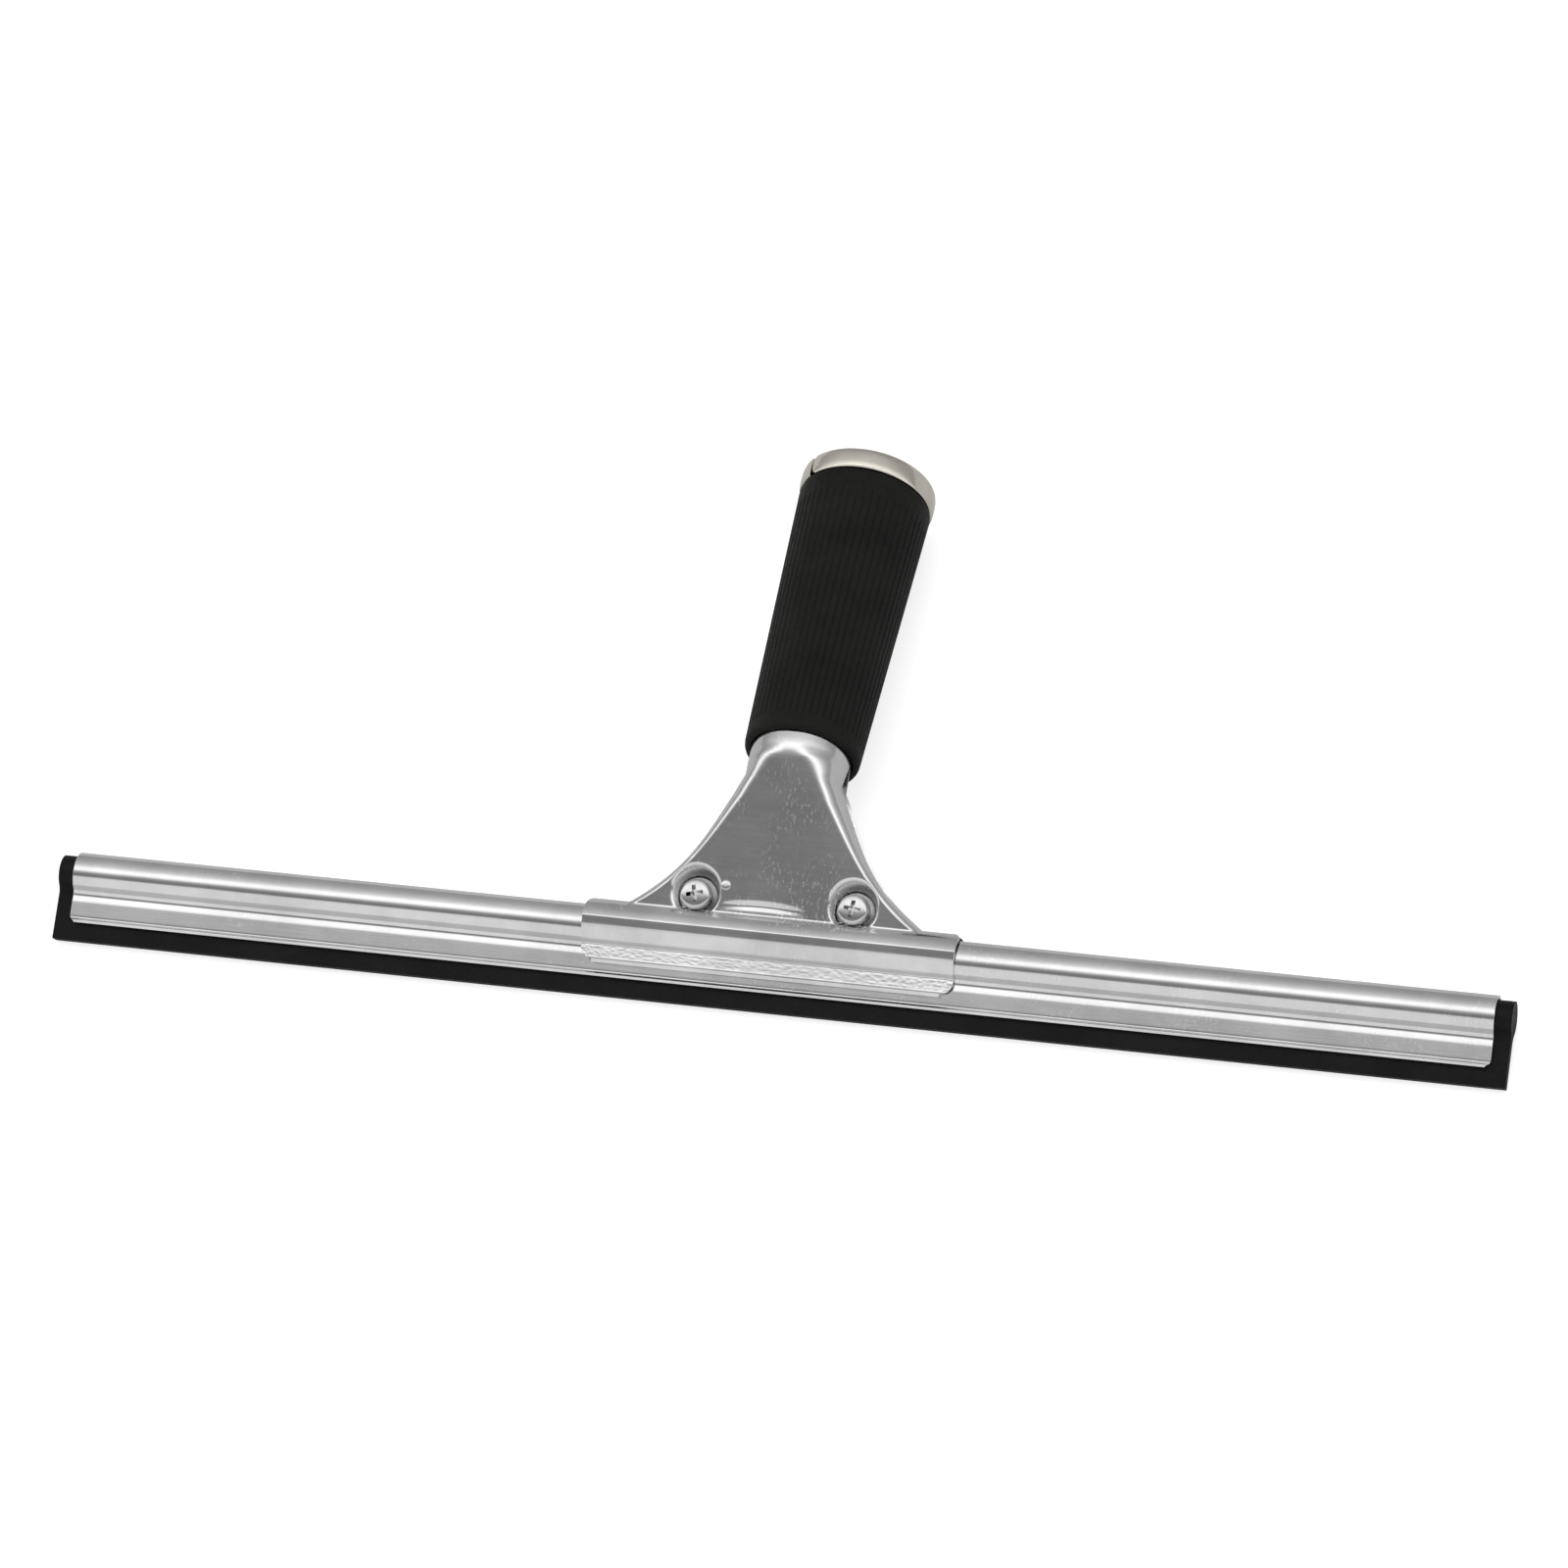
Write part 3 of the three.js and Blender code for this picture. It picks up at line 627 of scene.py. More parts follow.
@dataclass
class WipingHead:
    """The rubber blade and the rolled channel that holds it."""

    place: Matrix
    steel: SheetSteel
    rubber: MouldedRubber
    section: Keyhole = field(default_factory=Keyhole)
    clearance: float = 0.3
    sheet: float = 0.7
    corner: float = 1.2
    bottom: float = 4.8
    fillet: float = 2.0
    skirt_facing: float = -2.5
    skirt_length: float = 3.35
    nick: float = 0.12

    def channel(self) -> bpy.types.Object:
        """The rolled sheet: over the bead and down both sides to a turned-out lip."""
        half_length = span("channel", 0) / 2
        radius = self.section.bead_radius + self.clearance + self.sheet
        meet = math.degrees(math.atan2(self.section.fillet_centre[1] - self.section.bead_height,
                                       self.section.fillet_centre[0]))
        bead = math.radians(90 - meet) * radius
        legs = [
            (bead, 90, meet, 64),  # over the bead
            (math.radians(4 - meet) * self.fillet, meet, 4, 18),  # in to the stem
            (1.0, 4, 3, 4),
            (0.5, 3, self.skirt_facing, 4),
            (self.skirt_length, self.skirt_facing, self.skirt_facing, 10),  # the flat skirt
            (0.25, -9, -9, 2),  # a nick above the lip
            (0.5, 8, 40, 4),  # the lip turns out
            (0.55, 40, 62, 5),
        ]
        path = walk((0.0, self.section.bead_height + radius), legs)
        outer, inner = sheet_sides(path, self.sheet)
        faces = [side[::-1] + [(-z, y) for z, y in side[1:]] for side in (outer, inner)]
        loop = faces[0] + faces[1][::-1]

        def reach(y: float) -> float:
            """Half-length at height y."""
            return half_length - corner_cut(y, self.bottom, self.corner, 1)

        piece = sweep_sheet("channel_sheet", loop, reach, self.place)
        add_bevel(piece, self.nick)
        return dress(piece, self.steel, "channel", "channel")

    def blade(self) -> bpy.types.Object:
        """The rubber: a square-edged strip with a bead along its top."""
        half_length = span("rubber_blade", 0) / 2
        half = self.section.half
        top = self.section.fillet_centre[1]
        side = [(half - self.nick, 0.0), (half, self.nick)]
        side += [(half, y) for y in np.linspace(0.6, top - 0.3, 8)]
        side += self.section.front(math.pi / 2)
        loop = side + [(-z, y) for z, y in reversed(side[:-1])]

        def reach(_: float) -> float:
            """Half-length, the same at every height."""
            return half_length

        piece = sweep_sheet("rubber_strip", loop, reach, self.place, stations=41)
        add_bevel(piece, self.nick, angle=60)
        return dress(piece, self.rubber, "blade", "rubber_blade")

    def build(self) -> None:
        """Builds the channel and the blade."""
        self.channel()
        self.blade()


# ---- Handle shells --------------------------------------------------------------------------------
class Side(Enum):
    """Which half of the handle: its name and the sign of its depth."""

    FRONT = ("front", 1)
    REAR = ("rear", -1)


@dataclass(frozen=True)
class Pocket:
    """A pressed pocket for a screw head or a nut."""

    x: float
    height: float
    floor: float = 2.4
    radius: float = 3.5
    brim: float = 6.2
    rise: float = 2.3
    curl: float = 1.35
    hole: float = 2.35
    rim: float = 0.45

    def depth(self, x: np.ndarray, y: np.ndarray) -> np.ndarray:
        """Height of the pocket's floor and bowl-shaped wall at each point."""
        away = np.hypot(x - self.x, y - self.height)
        share = np.maximum(0.0, (away - self.radius) / (self.brim - self.radius))
        return self.floor + self.rise * share**self.curl


@dataclass
class HandleShell:
    """One stamped half of the handle: half a jaw, the fan with its flat panel, and half the tube."""

    side: Side
    place: Matrix
    steel: SheetSteel
    section: Keyhole = field(default_factory=Keyhole)
    jaw_inside: float = 1.3
    sheet: float = 1.2
    seam: float = 0.2
    jaw_low_corner: float = 3.0
    jaw_top_corner: float = 2.0
    jaw_bottom: float = 8.2
    jaw_sheet: float = 0.9
    top_facing: float = 88.3
    ridge_facing: float = 16.0
    shoulder_ease: float = 0.2
    skirt_length: float = 2.6
    dent: float = 0.045
    dent_band: tuple[float, float, float, float] = (8.3, 9.0, 11.2, 12.0)
    lean: float = math.radians(21.5)
    root: float = 57.6
    bend_tangent: float = 6.5
    panel_root: float = 25.0
    panel_depth: float = 4.5
    panel_slope: float = 0.165
    rear_slope: float = 0.205
    crease: float = 0.9
    fan_start: float = 22.3
    overlap: float = 2.2
    fan_control: tuple[float, ...] = (11.7, 17.0, 14.1, 7.7, 2.1)
    fan_half: float = 37.5
    flat_control: tuple[float, ...] = (3.0, 9.0, 17.5, 8.0, 2.4)
    crown_flat: float = 0.4
    rim: float = 3.0
    rim_rise: float = 9.0
    rim_fall: float = 13.0
    neck_radius: float = 12.105
    taper: float = 0.03
    tube_length: float = 85.0
    crease_x: float = -2.5
    crease_half: float = 11.5
    crease_height: float = 23.9
    crease_bow: float = 0.7
    crease_depth: float = 0.34
    crease_width: float = 0.85
    columns: int = 236
    pocket_top: float = 34.0
    pocket_step: float = 0.3
    fan_step: float = 0.9
    tube_stations: int = 12
    proud: float = 0.012

    @property
    def outer_offset(self) -> float:
        """Offset of the jaw's outer face from the blade's bead."""
        return self.jaw_inside + self.sheet

    @property
    def bend_end(self) -> float:
        """Distance along the parting line where the handle's bend ends."""
        radius = self.bend_tangent / math.tan(self.lean / 2)
        return self.root - self.bend_tangent + radius * self.lean

    @property
    def neck(self) -> float:
        """Distance where the fan has become a tube."""
        return self.root - self.fan_control[4]

    def bezier(self, distance: float, points: Sequence[Point]) -> float:
        """Second coordinate of a cubic Bezier curve where its first equals the distance."""
        t = np.linspace(0, 1, 400)
        weights = ((1 - t) ** 3, 3 * (1 - t) ** 2 * t, 3 * (1 - t) * t**2, t**3)
        along = sum(w * p[0] for w, p in zip(weights, points))
        value = sum(w * p[1] for w, p in zip(weights, points))
        return float(np.interp(distance, along, value))

    def half_width(self, distance: float) -> float:
        """Half-width of the fan or tube at the parting plane."""
        if distance >= self.neck:
            return self.tube_radius(distance)
        height, turn, lead, spread, _ = self.fan_control
        return self.bezier(distance, [
            (self.fan_start, self.fan_half),
            (self.fan_start + height, self.fan_half - turn),
            (self.neck - lead, self.neck_radius + spread),
            (self.neck, self.neck_radius),
        ])

    def flat_half(self, distance: float) -> float:
        """Half-width of the flat panel."""
        band, reach, turn, arch, rise = self.flat_control
        top = self.root + rise
        if distance >= top:
            return self.crown_flat
        return self.bezier(distance, [
            (self.fan_start, self.fan_half - band),
            (self.fan_start + reach, self.fan_half - band - turn),
            (top, arch),
            (top, self.crown_flat),
        ])

    def tube_radius(self, distance: float) -> float:
        """Outer radius of the tube."""
        return self.neck_radius + self.taper * max(0.0, distance - self.neck)

    def spine(self, distance: float) -> tuple[float, float, float]:
        """Y, Z and lean of the parting line at a distance along it."""
        start = self.root - self.bend_tangent
        radius = self.bend_tangent / math.tan(self.lean / 2)
        if distance <= start:
            return distance, 0.0, 0.0
        if distance < self.bend_end:
            lean = (distance - start) / radius
            return start + radius * math.sin(lean), -radius * (1 - math.cos(lean)), lean
        along = distance - self.bend_end + self.bend_tangent
        return self.root + along * math.cos(self.lean), -along * math.sin(self.lean), self.lean

    def depth(self, distance: float) -> float:
        """Height of the shell's crown over the parting plane."""
        y, z, lean = self.spine(distance)
        if self.side is Side.REAR:
            panel = self.panel_depth + self.rear_slope * (distance - self.panel_root)
        else:
            slope = self.panel_slope
            plane = self.panel_depth + slope * (y - self.panel_root) - z
            panel = plane / (math.cos(lean) - slope * math.sin(lean))
        return float(soft_min(np.array(panel), np.array(self.tube_radius(distance)), self.crease))

    def jaw_depth(self, distance: float) -> float:
        """Height of the jaw's round top over the parting plane, or nothing above it."""
        top = [(y, z) for z, y, _ in reversed(self.jaw_path()) if y > self.section.bead_height]
        if distance >= top[-1][0]:
            return 0.0
        return float(np.interp(distance, [y for y, _ in top], [z for _, z in top])) + self.proud

    def rim_height(self, distance: float) -> float:
        """Height of the shell's rim over the parting plane."""
        rise = smoothstep(distance, self.fan_start, self.fan_start + self.rim_rise)
        fall = smoothstep(distance, self.bend_end - self.rim_fall, self.bend_end)
        return self.seam + self.rim * float(rise) * (1 - float(fall))

    def arch(self, distance: float) -> tuple[np.ndarray, np.ndarray]:
        """Evenly spaced (x, depth) points of the shell's outline at a distance."""
        width, flat, crown = self.half_width(distance), self.flat_half(distance), self.depth(distance)
        start = math.asin(min(0.98, self.rim_height(distance) / crown))
        angles = np.linspace(start, math.pi / 2, 90)
        x = flat + (width - flat) * np.cos(angles)
        z = crown * np.sin(angles)
        x = np.concatenate([-x, x[::-1]])
        z = np.concatenate([z, z[::-1]])
        run = np.concatenate([[0], np.cumsum(np.hypot(np.diff(x), np.diff(z)))])
        even = np.linspace(0, run[-1], self.columns)
        return np.interp(even, run, x), np.interp(even, run, z)

    def distances(self) -> list[float]:
        """Stations along the parting line: close over the pockets, wider along the tube."""
        first = self.fan_start - self.overlap
        pockets = np.arange(first, self.pocket_top, self.pocket_step)
        fan = np.arange(self.pocket_top, self.bend_end, self.fan_step)
        top = self.bend_end - self.bend_tangent + self.tube_length
        tube = np.linspace(self.bend_end, top, self.tube_stations)
        return [*pockets, *fan, *tube]

    def fan(self, pockets: Sequence[Pocket]) -> tuple[np.ndarray, Faces]:
        """Points and faces of the outer face of the fan and tube, with its pockets and screw holes."""
        sign = self.side.value[1]
        stations = self.distances()
        points, flat_places = [], []
        for distance in stations:
            x, z = self.arch(distance)
            for pocket in pockets:
                z = soft_min(z, pocket.depth(x, np.full_like(x, distance)), pocket.rim)
            if self.side is Side.FRONT:
                bow = np.maximum(0.0, 1 - ((x - self.crease_x) / self.crease_half) ** 2)
                ridge = self.crease_height + self.crease_bow * bow
                z = z - self.crease_depth * bow * np.exp(-(((distance - ridge) / self.crease_width) ** 2))
            jaw = self.jaw_depth(distance)
            if jaw > 0:
                shore = soft_max(z, np.full_like(z, jaw), self.crease)
                open_jaw = np.min([np.hypot(x - q.x, distance - q.height) for q in pockets], axis=0)
                z = np.where(open_jaw > pockets[0].brim, shore, np.maximum(z, np.minimum(shore, jaw)))
            y0, z0, lean = self.spine(distance)
            points += [
                (a, y0 + sign * d * math.sin(lean), z0 + sign * d * math.cos(lean)) for a, d in zip(x, z)
            ]
            flat_places += [(a, distance) for a in x]
        places = np.array(flat_places)
        faces = []
        for face in grid_faces(len(stations), self.columns):
            centre = places[list(face)].mean(axis=0)
            if all(math.hypot(centre[0] - p.x, centre[1] - p.height) > p.hole for p in pockets):
                faces.append(face if sign > 0 else face[::-1])
        return np.array(points), faces

    def fan_piece(self, pockets: Sequence[Pocket]) -> bpy.types.Object:
        """The fan and tube as a sheet of the right thickness."""
        points, faces = self.fan(pockets)
        name = f"{self.side.value[0]}_fan"
        mesh = bpy.data.meshes.new(name)
        mesh.from_pydata([self.place @ Vector(p) for p in points.tolist()], [], faces)
        mesh.shade_smooth()
        piece = bpy.data.objects.new(name, mesh)
        bpy.context.scene.collection.objects.link(piece)
        thick = piece.modifiers.new("sheet", "SOLIDIFY")
        thick.thickness = self.sheet * MM
        thick.offset = -1
        thick.use_rim = True
        edge = piece.modifiers.new("crisp", "EDGE_SPLIT")
        edge.split_angle = math.radians(60)
        return piece

    def jaw_path(self) -> list[tuple[float, float, float]]:
        """The jaw's outer face from the seam on top, over a ridge and down to its lip."""
        radius = self.section.bead_radius + self.outer_offset
        shoulder = math.radians(self.top_facing - self.ridge_facing) * (radius + self.shoulder_ease)
        legs = [
            (shoulder, self.top_facing, self.ridge_facing + 1, 34),  # over the bead
            (0.4, self.ridge_facing, -8, 4),  # the ridge
            (1.6, -8, -11, 6),
            (3.4, -14, -33, 14),  # drawn in under the bead
            (1.75, -36, -48, 8),
            (0.45, -44, 4, 6),  # out to the skirt
            (0.35, 4, 0, 2),
            (self.skirt_length, 0, 0, 12),  # the flat skirt
            (0.35, 10, 50, 3),  # the lip turns out
            (0.35, 50, 62, 3),
        ]
        return walk((self.seam, self.section.bead_height + radius), legs)

    def jaw_piece(self) -> bpy.types.Object:
        """The jaw: a sheet round the front or rear of the channel, from its lip to the seam on top."""
        half_length = span(f"{self.side.value[0]}_shell", 0) / 2
        sign = self.side.value[1]
        path = self.jaw_path()
        outer, inner = sheet_sides(path, self.jaw_sheet)
        loop = [(sign * z, y) for z, y in outer + inner[::-1]]
        crest = path[0][1]

        def reach(y: float) -> float:
            """Half-length at height y."""
            low = corner_cut(y, self.jaw_bottom, self.jaw_low_corner, 1)
            return half_length - low - corner_cut(y, crest, self.jaw_top_corner, -1)

        piece = sweep_sheet(f"{self.side.value[0]}_jaw", loop, reach, self.place, stations=301)
        self.hammer(piece)
        add_bevel(piece, 0.2)
        return piece

    def hammer(self, piece: bpy.types.Object) -> None:
        """Dents the lower band of the jaw, as the press that closed it did."""
        low, full_low, full_high, high = self.dent_band
        back = self.place.inverted()
        out = (self.place.to_3x3() @ Vector((0, 0, self.side.value[1]))).normalized() * MM
        for vertex in piece.data.vertices:
            x, y, z = back @ vertex.co
            band = float(smoothstep(y, low, full_low)) * (1 - float(smoothstep(y, full_high, high)))
            dent = noise.noise(Vector((x * 0.9, y * 2.0, z * self.side.value[1]))) * 0.6
            dent += noise.noise(Vector((x * 2.2, y * 3.4, 7.0))) * 0.4
            vertex.co += out * (self.dent * band * dent)

    def build(self, pockets: Sequence[Pocket]) -> None:
        """Builds the jaw and the fan, which together stand for the stamped shell."""
        node = f"{self.side.value[0]}_shell"
        pressed = replace(self.steel, name="pressed_jaw_steel", flecks=0.1)
        dress(self.jaw_piece(), pressed, "handle", node)
        dress(self.fan_piece(pockets), self.steel, "handle", node)


# ---- Grip and end ring ----------------------------------------------------------------------------
@dataclass
class HandleCover:
    """The ribbed rubber sleeve and the split steel ring that closes it."""

    rubber: MouldedRubber
    steel: SheetSteel
    start: float = 5.4
    length: float = 74.5
    wall: float = 1.5
    clearance: float = 0.3
    neck_radius: float = 12.105
    neck_along: float = -1.96
    taper: float = 0.03
    ribs: int = 52
    rib_depth: float = 0.28
    steps_per_rib: int = 10
    plain_low: float = 3.6
    plain_high: float = 5.0
    gap: float = 0.3
    ring_height: float = 5.5
    ring_wall: float = 1.5
    ring_edge: float = 0.6
    ring_crown: float = 0.22
    split: float = 0.8
    split_angle: float = math.radians(46)

    @property
    def place(self) -> Matrix:
        """The handle's frame."""
        return handle_place(self.start + self.length + self.gap + self.ring_height)

    def socket(self, along: float) -> float:
        """Outer radius of the steel tube at a distance along the handle."""
        return self.neck_radius + self.taper * max(0.0, along - self.neck_along)

    def sleeve(self) -> bpy.types.Object:
        """The rubber sleeve: rounded lower rim, plain bands and fine ribs between them."""
        turns = np.arange(self.ribs * self.steps_per_rib) * TAU / (self.ribs * self.steps_per_rib)
        wave = np.cos(turns * self.ribs)
        groove = smoothstep(wave, 0.25, 0.95)
        profile = [(0.0, 0.0), (0.45, 0.0), (0.85, 0.12), (1.2, 0.45), (1.4, 0.9), (self.wall, 1.6)]
        bands = [(self.wall, self.plain_low), (self.wall, self.plain_low + 0.5)]
        heights = np.linspace(self.plain_low + 1.4, self.length - self.plain_high - 1.0, 12)
        ribbed = [(self.wall, y) for y in heights]
        top = [(self.wall, self.length - self.plain_high), (self.wall, self.length - 1.2),
               (self.wall, self.length - 0.5), (self.wall - 0.12, self.length - 0.12),
               (self.wall - 0.5, self.length), (0.0, self.length)]
        rows = []
        for out, up in profile + bands + ribbed + top:
            along = self.start + up
            fade = smoothstep(up, self.plain_low, self.plain_low + 1.2)
            fade *= 1 - smoothstep(up, self.length - self.plain_high - 0.8, self.length - self.plain_high)
            radius = self.socket(along) + self.clearance + out - self.rib_depth * groove * fade
            radius = radius * np.ones_like(turns)
            up_handle = np.full_like(turns, along)
            rows.append(np.stack([radius * np.sin(turns), up_handle, radius * np.cos(turns)], 1))
        points = np.concatenate(rows)
        faces = grid_faces(len(rows), len(turns), ring=True, closed=True)
        piece = make_piece("ribbed_sleeve", points, faces, self.place, sharp=55)
        return dress(piece, self.rubber, "handle", "grip_sleeve")

    def ring(self) -> bpy.types.Object:
        """The steel band, split at the left front, with rounded corners beside the split."""
        start = self.start + self.length + self.gap
        end = start + self.ring_height
        inside = self.socket(end) + self.clearance
        outside = inside + self.ring_wall
        edge = self.ring_edge
        low_turn = rounded((outside - edge, start), (outside, start), (outside, start + edge))
        outer = [(inside + 0.5, start), *low_turn]
        outer += [(outside + self.ring_crown * (1 - (2 * s - 1) ** 2), start + self.ring_height * s)
                  for s in (0.2, 0.3, 0.4, 0.5, 0.6, 0.7, 0.8)]
        high_turn = rounded((outside, end - edge), (outside, end), (outside - edge, end))
        outer += [*high_turn, (inside + 0.5, end)]
        inner = [(inside, y) for _, y in outer]
        loop = outer + inner[::-1]
        turns = np.sin(np.linspace(-math.pi / 2, math.pi / 2, 161))
        points = []
        for share in turns:
            for radius, y in loop:
                cut = corner_cut(y, start, 1.2, 1) + corner_cut(y, end, 1.2, -1)
                half = math.pi - (self.split / 2 + cut) / radius
                angle = math.pi - self.split_angle + share * half
                points.append((radius * math.sin(angle), y, radius * math.cos(angle)))
        faces = grid_faces(len(turns), len(loop), ring=True) + sheet_caps(len(turns), len(loop))
        piece = make_piece("split_ring", np.array(points), faces, self.place, sharp=40)
        return dress(piece, self.steel, "handle", "end_ring")

    def build(self) -> None:
        """Builds the sleeve and the ring."""
        self.sleeve()
        self.ring()


# ---- Fasteners ------------------------------------------------------------------------------------
@dataclass
class Fasteners:
    """The two pan-head screws with their washers and nuts, and the locating rivet."""

    place: Matrix
    steel: SheetSteel
    shank: float = 2.0
    pitch: float = 0.7
    thread_depth: float = 0.22
    head_radius: float = 3.75
    head_height: float = 2.4
    seat: float = 2.55
    washer: float = 0.8
    seat_gap: float = 0.15
    nut_thickness: float = 3.2
    nut_flats: float = 7.0
    tip: float = 6.5
    cross_length: float = 4.5
    cross_width: float = 0.95
    cross_depth: float = 1.5
    rivet_radius: float = 1.25
    recess_turns: tuple[tuple[str, float], ...] = (("left", 14.0), ("right", -6.0))

    def at(self, x: float, y: float, turn: float = 0.0) -> Matrix:
        """Place of a fastener whose axis stands on the tool's Z at (x, y), turned about it."""
        return self.place @ Matrix.Translation((x, y, 0)) @ Matrix.Rotation(math.radians(turn), 4, "Z")

    def screw(self, where: str, place: Matrix) -> bpy.types.Object:
        """A pan-head screw with a cross recess and a threaded shank."""
        seat = self.seat + self.washer + self.seat_gap
        top = seat + self.head_height
        r, s = self.head_radius, self.shank
        profile = [(0.0, -self.tip), (s - 0.4, -self.tip), (s - self.thread_depth, -self.tip + 0.4)]
        for k in range(int((self.tip + seat - 1.2) / self.pitch)):
            low = -self.tip + 0.4 + k * self.pitch
            profile += [(s - self.thread_depth, low + 0.1), (s, low + self.pitch * 0.5),
                        (s - self.thread_depth, low + self.pitch * 0.9)]
        profile += [(s, seat - 0.3), (s, seat), (r - 0.15, seat)]
        profile += rounded((r - 0.12, seat), (r, seat), (r, seat + 0.15), 3)
        profile += rounded((r, seat + 0.9), (r, top - 0.5), (r - 0.85, top - 0.3), 6)
        crown = r - 0.85
        profile += [(crown * q, top - 0.3 * q**2) for q in (0.8, 0.6, 0.4, 0.2, 0.0)]
        piece = lathe(f"pan_head_screw_{where}", profile, place)
        bars = [self.cross_bar(place, top, turn) for turn in (0, 90)]
        for bar in bars:
            cut = piece.modifiers.new("recess", "BOOLEAN")
            cut.operation = "DIFFERENCE"
            cut.object = bar
            cut.solver = "EXACT"
        bpy.context.view_layer.update()
        graph = bpy.context.evaluated_depsgraph_get()
        mesh = bpy.data.meshes.new_from_object(piece.evaluated_get(graph))
        piece.modifiers.clear()
        piece.data = mesh
        for bar in bars:
            bpy.data.objects.remove(bar)
        build = bmesh.new()
        build.from_mesh(mesh)
        soften(build, 32)
        build.to_mesh(mesh)
        build.free()
        return dress(piece, self.steel, f"{where}_screw", f"screw_{where}")

    def cross_bar(self, place: Matrix, top: float, turn: float) -> bpy.types.Object:
        """A bar that narrows downwards, one of the two that cut the recess."""
        low, high = top - self.cross_depth, top + 0.5
        corners = []
        for z, length, width in ((low, self.cross_length * 0.55, self.cross_width * 0.7),
                                 (high, self.cross_length * 1.1, self.cross_width * 1.15)):
            ends = ((-1, -1), (1, -1), (1, 1), (-1, 1))
            corners += [(sx * length / 2, sy * width / 2, z) for sx, sy in ends]
        faces = [(3, 2, 1, 0), (4, 5, 6, 7), (0, 1, 5, 4), (1, 2, 6, 5), (2, 3, 7, 6), (3, 0, 4, 7)]
        return make_piece("cross_bar", np.array(corners), faces,
                          place @ Matrix.Rotation(math.radians(turn), 4, "Z"))

    def washer_ring(self, where: str, place: Matrix) -> bpy.types.Object:
        """A flat washer with eased edges."""
        low, high = self.seat, self.seat + self.washer
        bore, rim, ease = self.shank + 0.1, self.head_radius - 0.15, 0.12
        profile = [(bore, low + ease), (bore, high - ease), (bore + ease, high), (rim - ease, high),
                   (rim, high - ease), (rim, low + ease), (rim - ease, low), (bore + ease, low)]
        piece = lathe(f"washer_ring_{where}", profile, place)
        return dress(piece, self.steel, f"{where}_washer", f"washer_{where}")

    def nut(self, where: str, place: Matrix) -> bpy.types.Object:
        """A hexagon nut with chamfered corners."""
        steps = 96
        turns = np.arange(steps) * TAU / steps + TAU / steps / 2
        flats = self.nut_flats / 2
        hexagon = flats / np.cos((turns + math.pi / 6) % (math.pi / 3) - math.pi / 6)
        low, high = -self.seat - self.nut_thickness, -self.seat
        bore = self.shank + 0.1
        fall = (hexagon - flats * 0.97) * 0.58
        face = flats * 0.95
        rows = [(bore, low + 0.3), (bore + 0.3, low), (face, low), (hexagon, low + fall),
                (hexagon, high - fall), (face, high), (bore + 0.3, high), (bore, high - 0.3)]
        flat = np.ones(steps)
        points = np.concatenate(
            [np.stack([r * np.cos(turns), r * np.sin(turns), z * flat], 1) for r, z in rows])
        faces = grid_faces(len(rows), steps, ring=True, closed=True)
        piece = make_piece(f"hex_nut_{where}", points, faces, place, 25)
        return dress(piece, self.steel, "handle", f"nut_{where}")

    def rivet(self, reach: float) -> bpy.types.Object:
        """The locating rivet: a short pin through both shells with a low domed end on each side."""
        centre = self.place.inverted() @ middle("locating_rivet")
        r = self.rivet_radius
        dome = rounded((r, reach - 0.3), (r, reach), (0.0, reach), 6)
        profile = [(a, -z) for a, z in reversed(dome)] + dome
        piece = lathe("rivet_pin", profile, self.at(centre.x, centre.y), 48)
        return dress(piece, self.steel, "handle", "locating_rivet")

    def build(self, rivet_reach: float) -> None:
        """Builds the screws, washers, nuts and rivet."""
        for where, turn in self.recess_turns:
            centre = self.place.inverted() @ middle(f"nut_{where}")
            place = self.at(centre.x, centre.y)
            self.screw(where, self.at(centre.x, centre.y, turn))
            self.washer_ring(where, place)
            self.nut(where, place)
        self.rivet(rivet_reach)


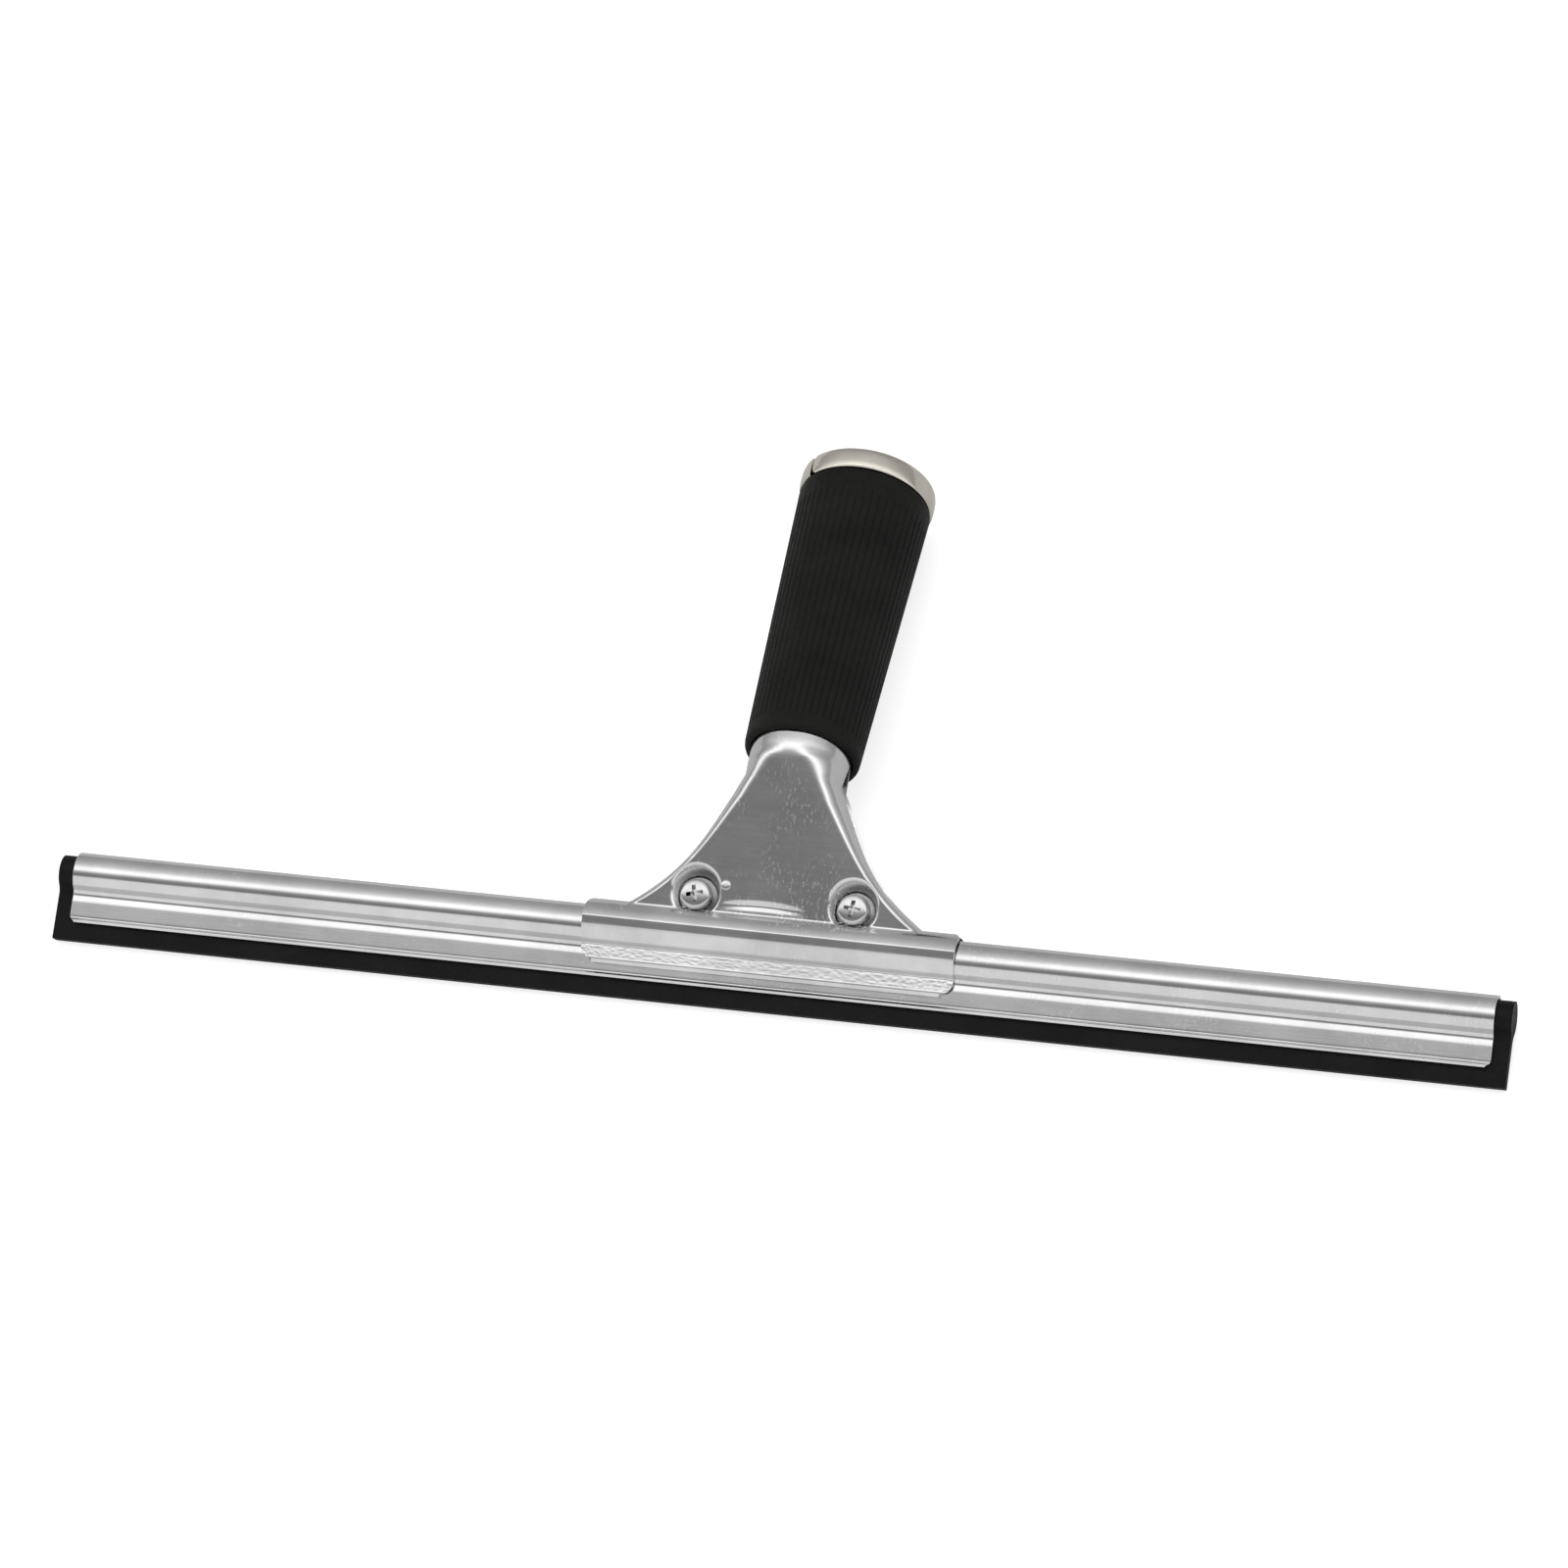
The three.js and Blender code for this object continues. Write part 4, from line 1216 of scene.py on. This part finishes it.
# ---- Studio ---------------------------------------------------------------------------------------
@dataclass
class Studio:
    """Pale floor, soft banded surroundings, a soft key light and the camera."""

    place: Matrix
    centre: tuple[float, float, float] = (452.711, -284.351, 1788.968)
    back: tuple[float, float, float] = (0.242685, -0.181122, 0.953047)
    up: tuple[float, float, float] = (-0.093032, 0.973543, 0.208707)
    lens: float = 180.0
    floor_size: float = 6.0
    floor_glow: float = 0.74
    mirrored_glow: float = 0.1
    floor_drop: float = 0.0004
    floor_tones: tuple[float, float] = (0.36, 0.38)
    key_size: float = 2.2
    key_energy: float = 34
    key_place: tuple[float, float, float] = (-0.3, -0.2, 2.2)
    bands: tuple[tuple[float, float], ...] = (
        (-180, 0.40), (-30, 0.60), (-5, 0.94), (46, 0.94), (50, 0.80), (54, 0.26), (65, 0.25), (70, 0.40),
        (75, 0.52), (80, 0.98), (85, 1.42), (90, 1.55), (98, 1.52), (102, 1.36), (107, 1.12), (117, 0.82),
        (128, 0.66), (140, 0.54), (150, 0.46), (172, 0.40), (180, 0.40),
    )

    def camera(self) -> None:
        """Makes the camera, set in the tool's frame, and gives it to the scene."""
        turn = self.place.to_3x3().normalized()
        back = turn @ Vector(self.back)
        up = turn @ Vector(self.up)
        right = up.cross(back)
        centre = self.place @ Vector(self.centre)
        data = bpy.data.cameras.new("studio_camera")
        data.lens = self.lens
        data.sensor_width = 36
        data.clip_start, data.clip_end = 0.1, 20
        camera = bpy.data.objects.new("studio_camera", data)
        camera.matrix_world = Matrix.Translation(centre) @ Matrix((right, up, back)).transposed().to_4x4()
        bpy.context.scene.collection.objects.link(camera)
        bpy.context.scene.camera = camera

    def floor(self) -> None:
        """A plain pale floor, a hair below the object."""
        build = bmesh.new()
        half = self.floor_size / 2
        ends = ((-1, -1), (1, -1), (1, 1), (-1, 1))
        corners = [build.verts.new((x * half, y * half, -self.floor_drop)) for x, y in ends]
        build.faces.new(corners)
        mesh = bpy.data.meshes.new("studio_floor")
        build.to_mesh(mesh)
        build.free()
        floor = bpy.data.objects.new("studio_floor", mesh)
        material, tree, shader = new_material("pale_floor")
        shader.inputs["Roughness"].default_value = 0.9
        shader.inputs["Specular IOR Level"].default_value = 0.1
        shader.inputs["Emission Color"].default_value = (1, 1, 1, 1)
        ray = add_node(tree, "ShaderNodeLightPath")
        tree.links.new(between(tree, ray.outputs["Is Glossy Ray"], self.floor_glow, self.mirrored_glow),
                       shader.inputs["Emission Strength"])
        cloud = add_node(tree, "ShaderNodeTexNoise", Scale=3.0, Detail=2.0)
        dark, light = self.floor_tones
        base = tinted(tree, cloud.outputs["Fac"], (dark,) * 3, (light,) * 3)
        tree.links.new(base, shader.inputs["Base Color"])
        mesh.materials.append(material)
        bpy.context.scene.collection.objects.link(floor)

    def surroundings(self) -> None:
        """Soft light from all round, in bands from the front horizon over the top to the back horizon."""
        world = bpy.data.worlds.new("soft_studio")
        world.use_nodes = True
        tree = world.node_tree
        where = add_node(tree, "ShaderNodeTexCoord")
        parts = add_node(tree, "ShaderNodeSeparateXYZ")
        tree.links.new(where.outputs["Generated"], parts.inputs[0])
        forward = add_node(tree, "ShaderNodeMath", operation="MULTIPLY")
        forward.inputs[1].default_value = -1
        tree.links.new(parts.outputs["Y"], forward.inputs[0])
        angle = add_node(tree, "ShaderNodeMath", operation="ARCTAN2")
        tree.links.new(parts.outputs["Z"], angle.inputs[0])
        tree.links.new(forward.outputs[0], angle.inputs[1])
        share = add_node(tree, "ShaderNodeMapRange", From_Min=-math.pi, From_Max=math.pi)
        tree.links.new(angle.outputs[0], share.inputs["Value"])
        ramp = add_node(tree, "ShaderNodeFloatCurve")
        curve = ramp.mapping.curves[0]
        curve.points[0].location = (0.0, self.bands[0][1] / 2)
        curve.points[1].location = (1.0, self.bands[-1][1] / 2)
        for angle_deg, value in self.bands[1:-1]:
            curve.points.new((angle_deg + 180) / 360, value / 2)
        for point in curve.points:
            point.handle_type = "VECTOR"
        ramp.mapping.update()
        tree.links.new(share.outputs["Result"], ramp.inputs["Value"])
        double = add_node(tree, "ShaderNodeMath", operation="MULTIPLY")
        double.inputs[1].default_value = 2
        tree.links.new(ramp.outputs["Value"], double.inputs[0])
        background = tree.nodes["Background"]
        tree.links.new(double.outputs[0], background.inputs["Strength"])
        background.inputs["Color"].default_value = (1, 1, 1, 1)
        bpy.context.scene.world = world

    def key_light(self) -> None:
        """A large soft light overhead that whitens the floor but isn't mirrored in the steel."""
        data = bpy.data.lights.new("overhead_soft", "AREA")
        data.shape = "DISK"
        data.size = self.key_size
        data.energy = self.key_energy
        light = bpy.data.objects.new("overhead_soft", data)
        light.location = self.key_place
        light.visible_glossy = False
        bpy.context.scene.collection.objects.link(light)

    def build(self) -> None:
        """Builds the stage, light and camera."""
        self.camera()
        self.floor()
        self.surroundings()
        self.key_light()
        bpy.context.scene.view_settings.view_transform = "Standard"


# ---- Finishes -------------------------------------------------------------------------------------
CHANNEL_STEEL = SheetSteel("rolled_channel_steel", "channel_steel", flecks=0.2, roughness=(0.07, 0.15),
                           dull=(0.6, 0.6, 0.6), grain_height=0.002)
SHELL_STEEL = SheetSteel("stamped_shell_steel", "shell_steel", flecks=0.75, roughness=(0.10, 0.19),
                         dull=(0.58, 0.58, 0.58), grain_height=0.002)
RING_STEEL = SheetSteel("warm_ring_steel", "ring_steel", colour=(0.74, 0.70, 0.63), dull=(0.6, 0.56, 0.5),
                        flecks=0.2, roughness=(0.08, 0.17))
SCREW_STEEL = SheetSteel("plated_fastener_steel", "fastener_steel", colour=(0.62, 0.62, 0.62),
                         dull=(0.5, 0.5, 0.5), roughness=(0.1, 0.18), grain=Grain.EVEN, flecks=0.2)
GRIP_RUBBER = MouldedRubber("ribbed_grip_rubber", "grip_rubber")
BLADE_RUBBER = MouldedRubber("wiping_blade_rubber", "blade_rubber", colour=(0.002, 0.002, 0.002),
                             dusty=(0.004, 0.004, 0.004), speck=(0.008, 0.008, 0.008), pebble_height=0.008,
                             roughness=(0.42, 0.6))

RIVET_HEIGHT = 28.9
RIVET_PROUD = 0.45


def main() -> None:
    """Builds the studio and the squeegee."""
    logging.basicConfig(level=logging.INFO, format="%(name)s: %(message)s")
    tool = tool_place()
    Studio(tool).build()
    WipingHead(tool, CHANNEL_STEEL, BLADE_RUBBER).build()
    centres = [tool.inverted() @ middle(f"nut_{where}") for where in ("left", "right")]
    pockets = [Pocket(x=c.x, height=c.y) for c in centres]
    shells = [HandleShell(side, tool, SHELL_STEEL) for side in Side]
    for shell in shells:
        shell.build(pockets)
    HandleCover(GRIP_RUBBER, RING_STEEL).build()
    Fasteners(tool, SCREW_STEEL).build(rivet_reach=shells[-1].depth(RIVET_HEIGHT) + RIVET_PROUD)


if __name__ == "__main__":
    main()
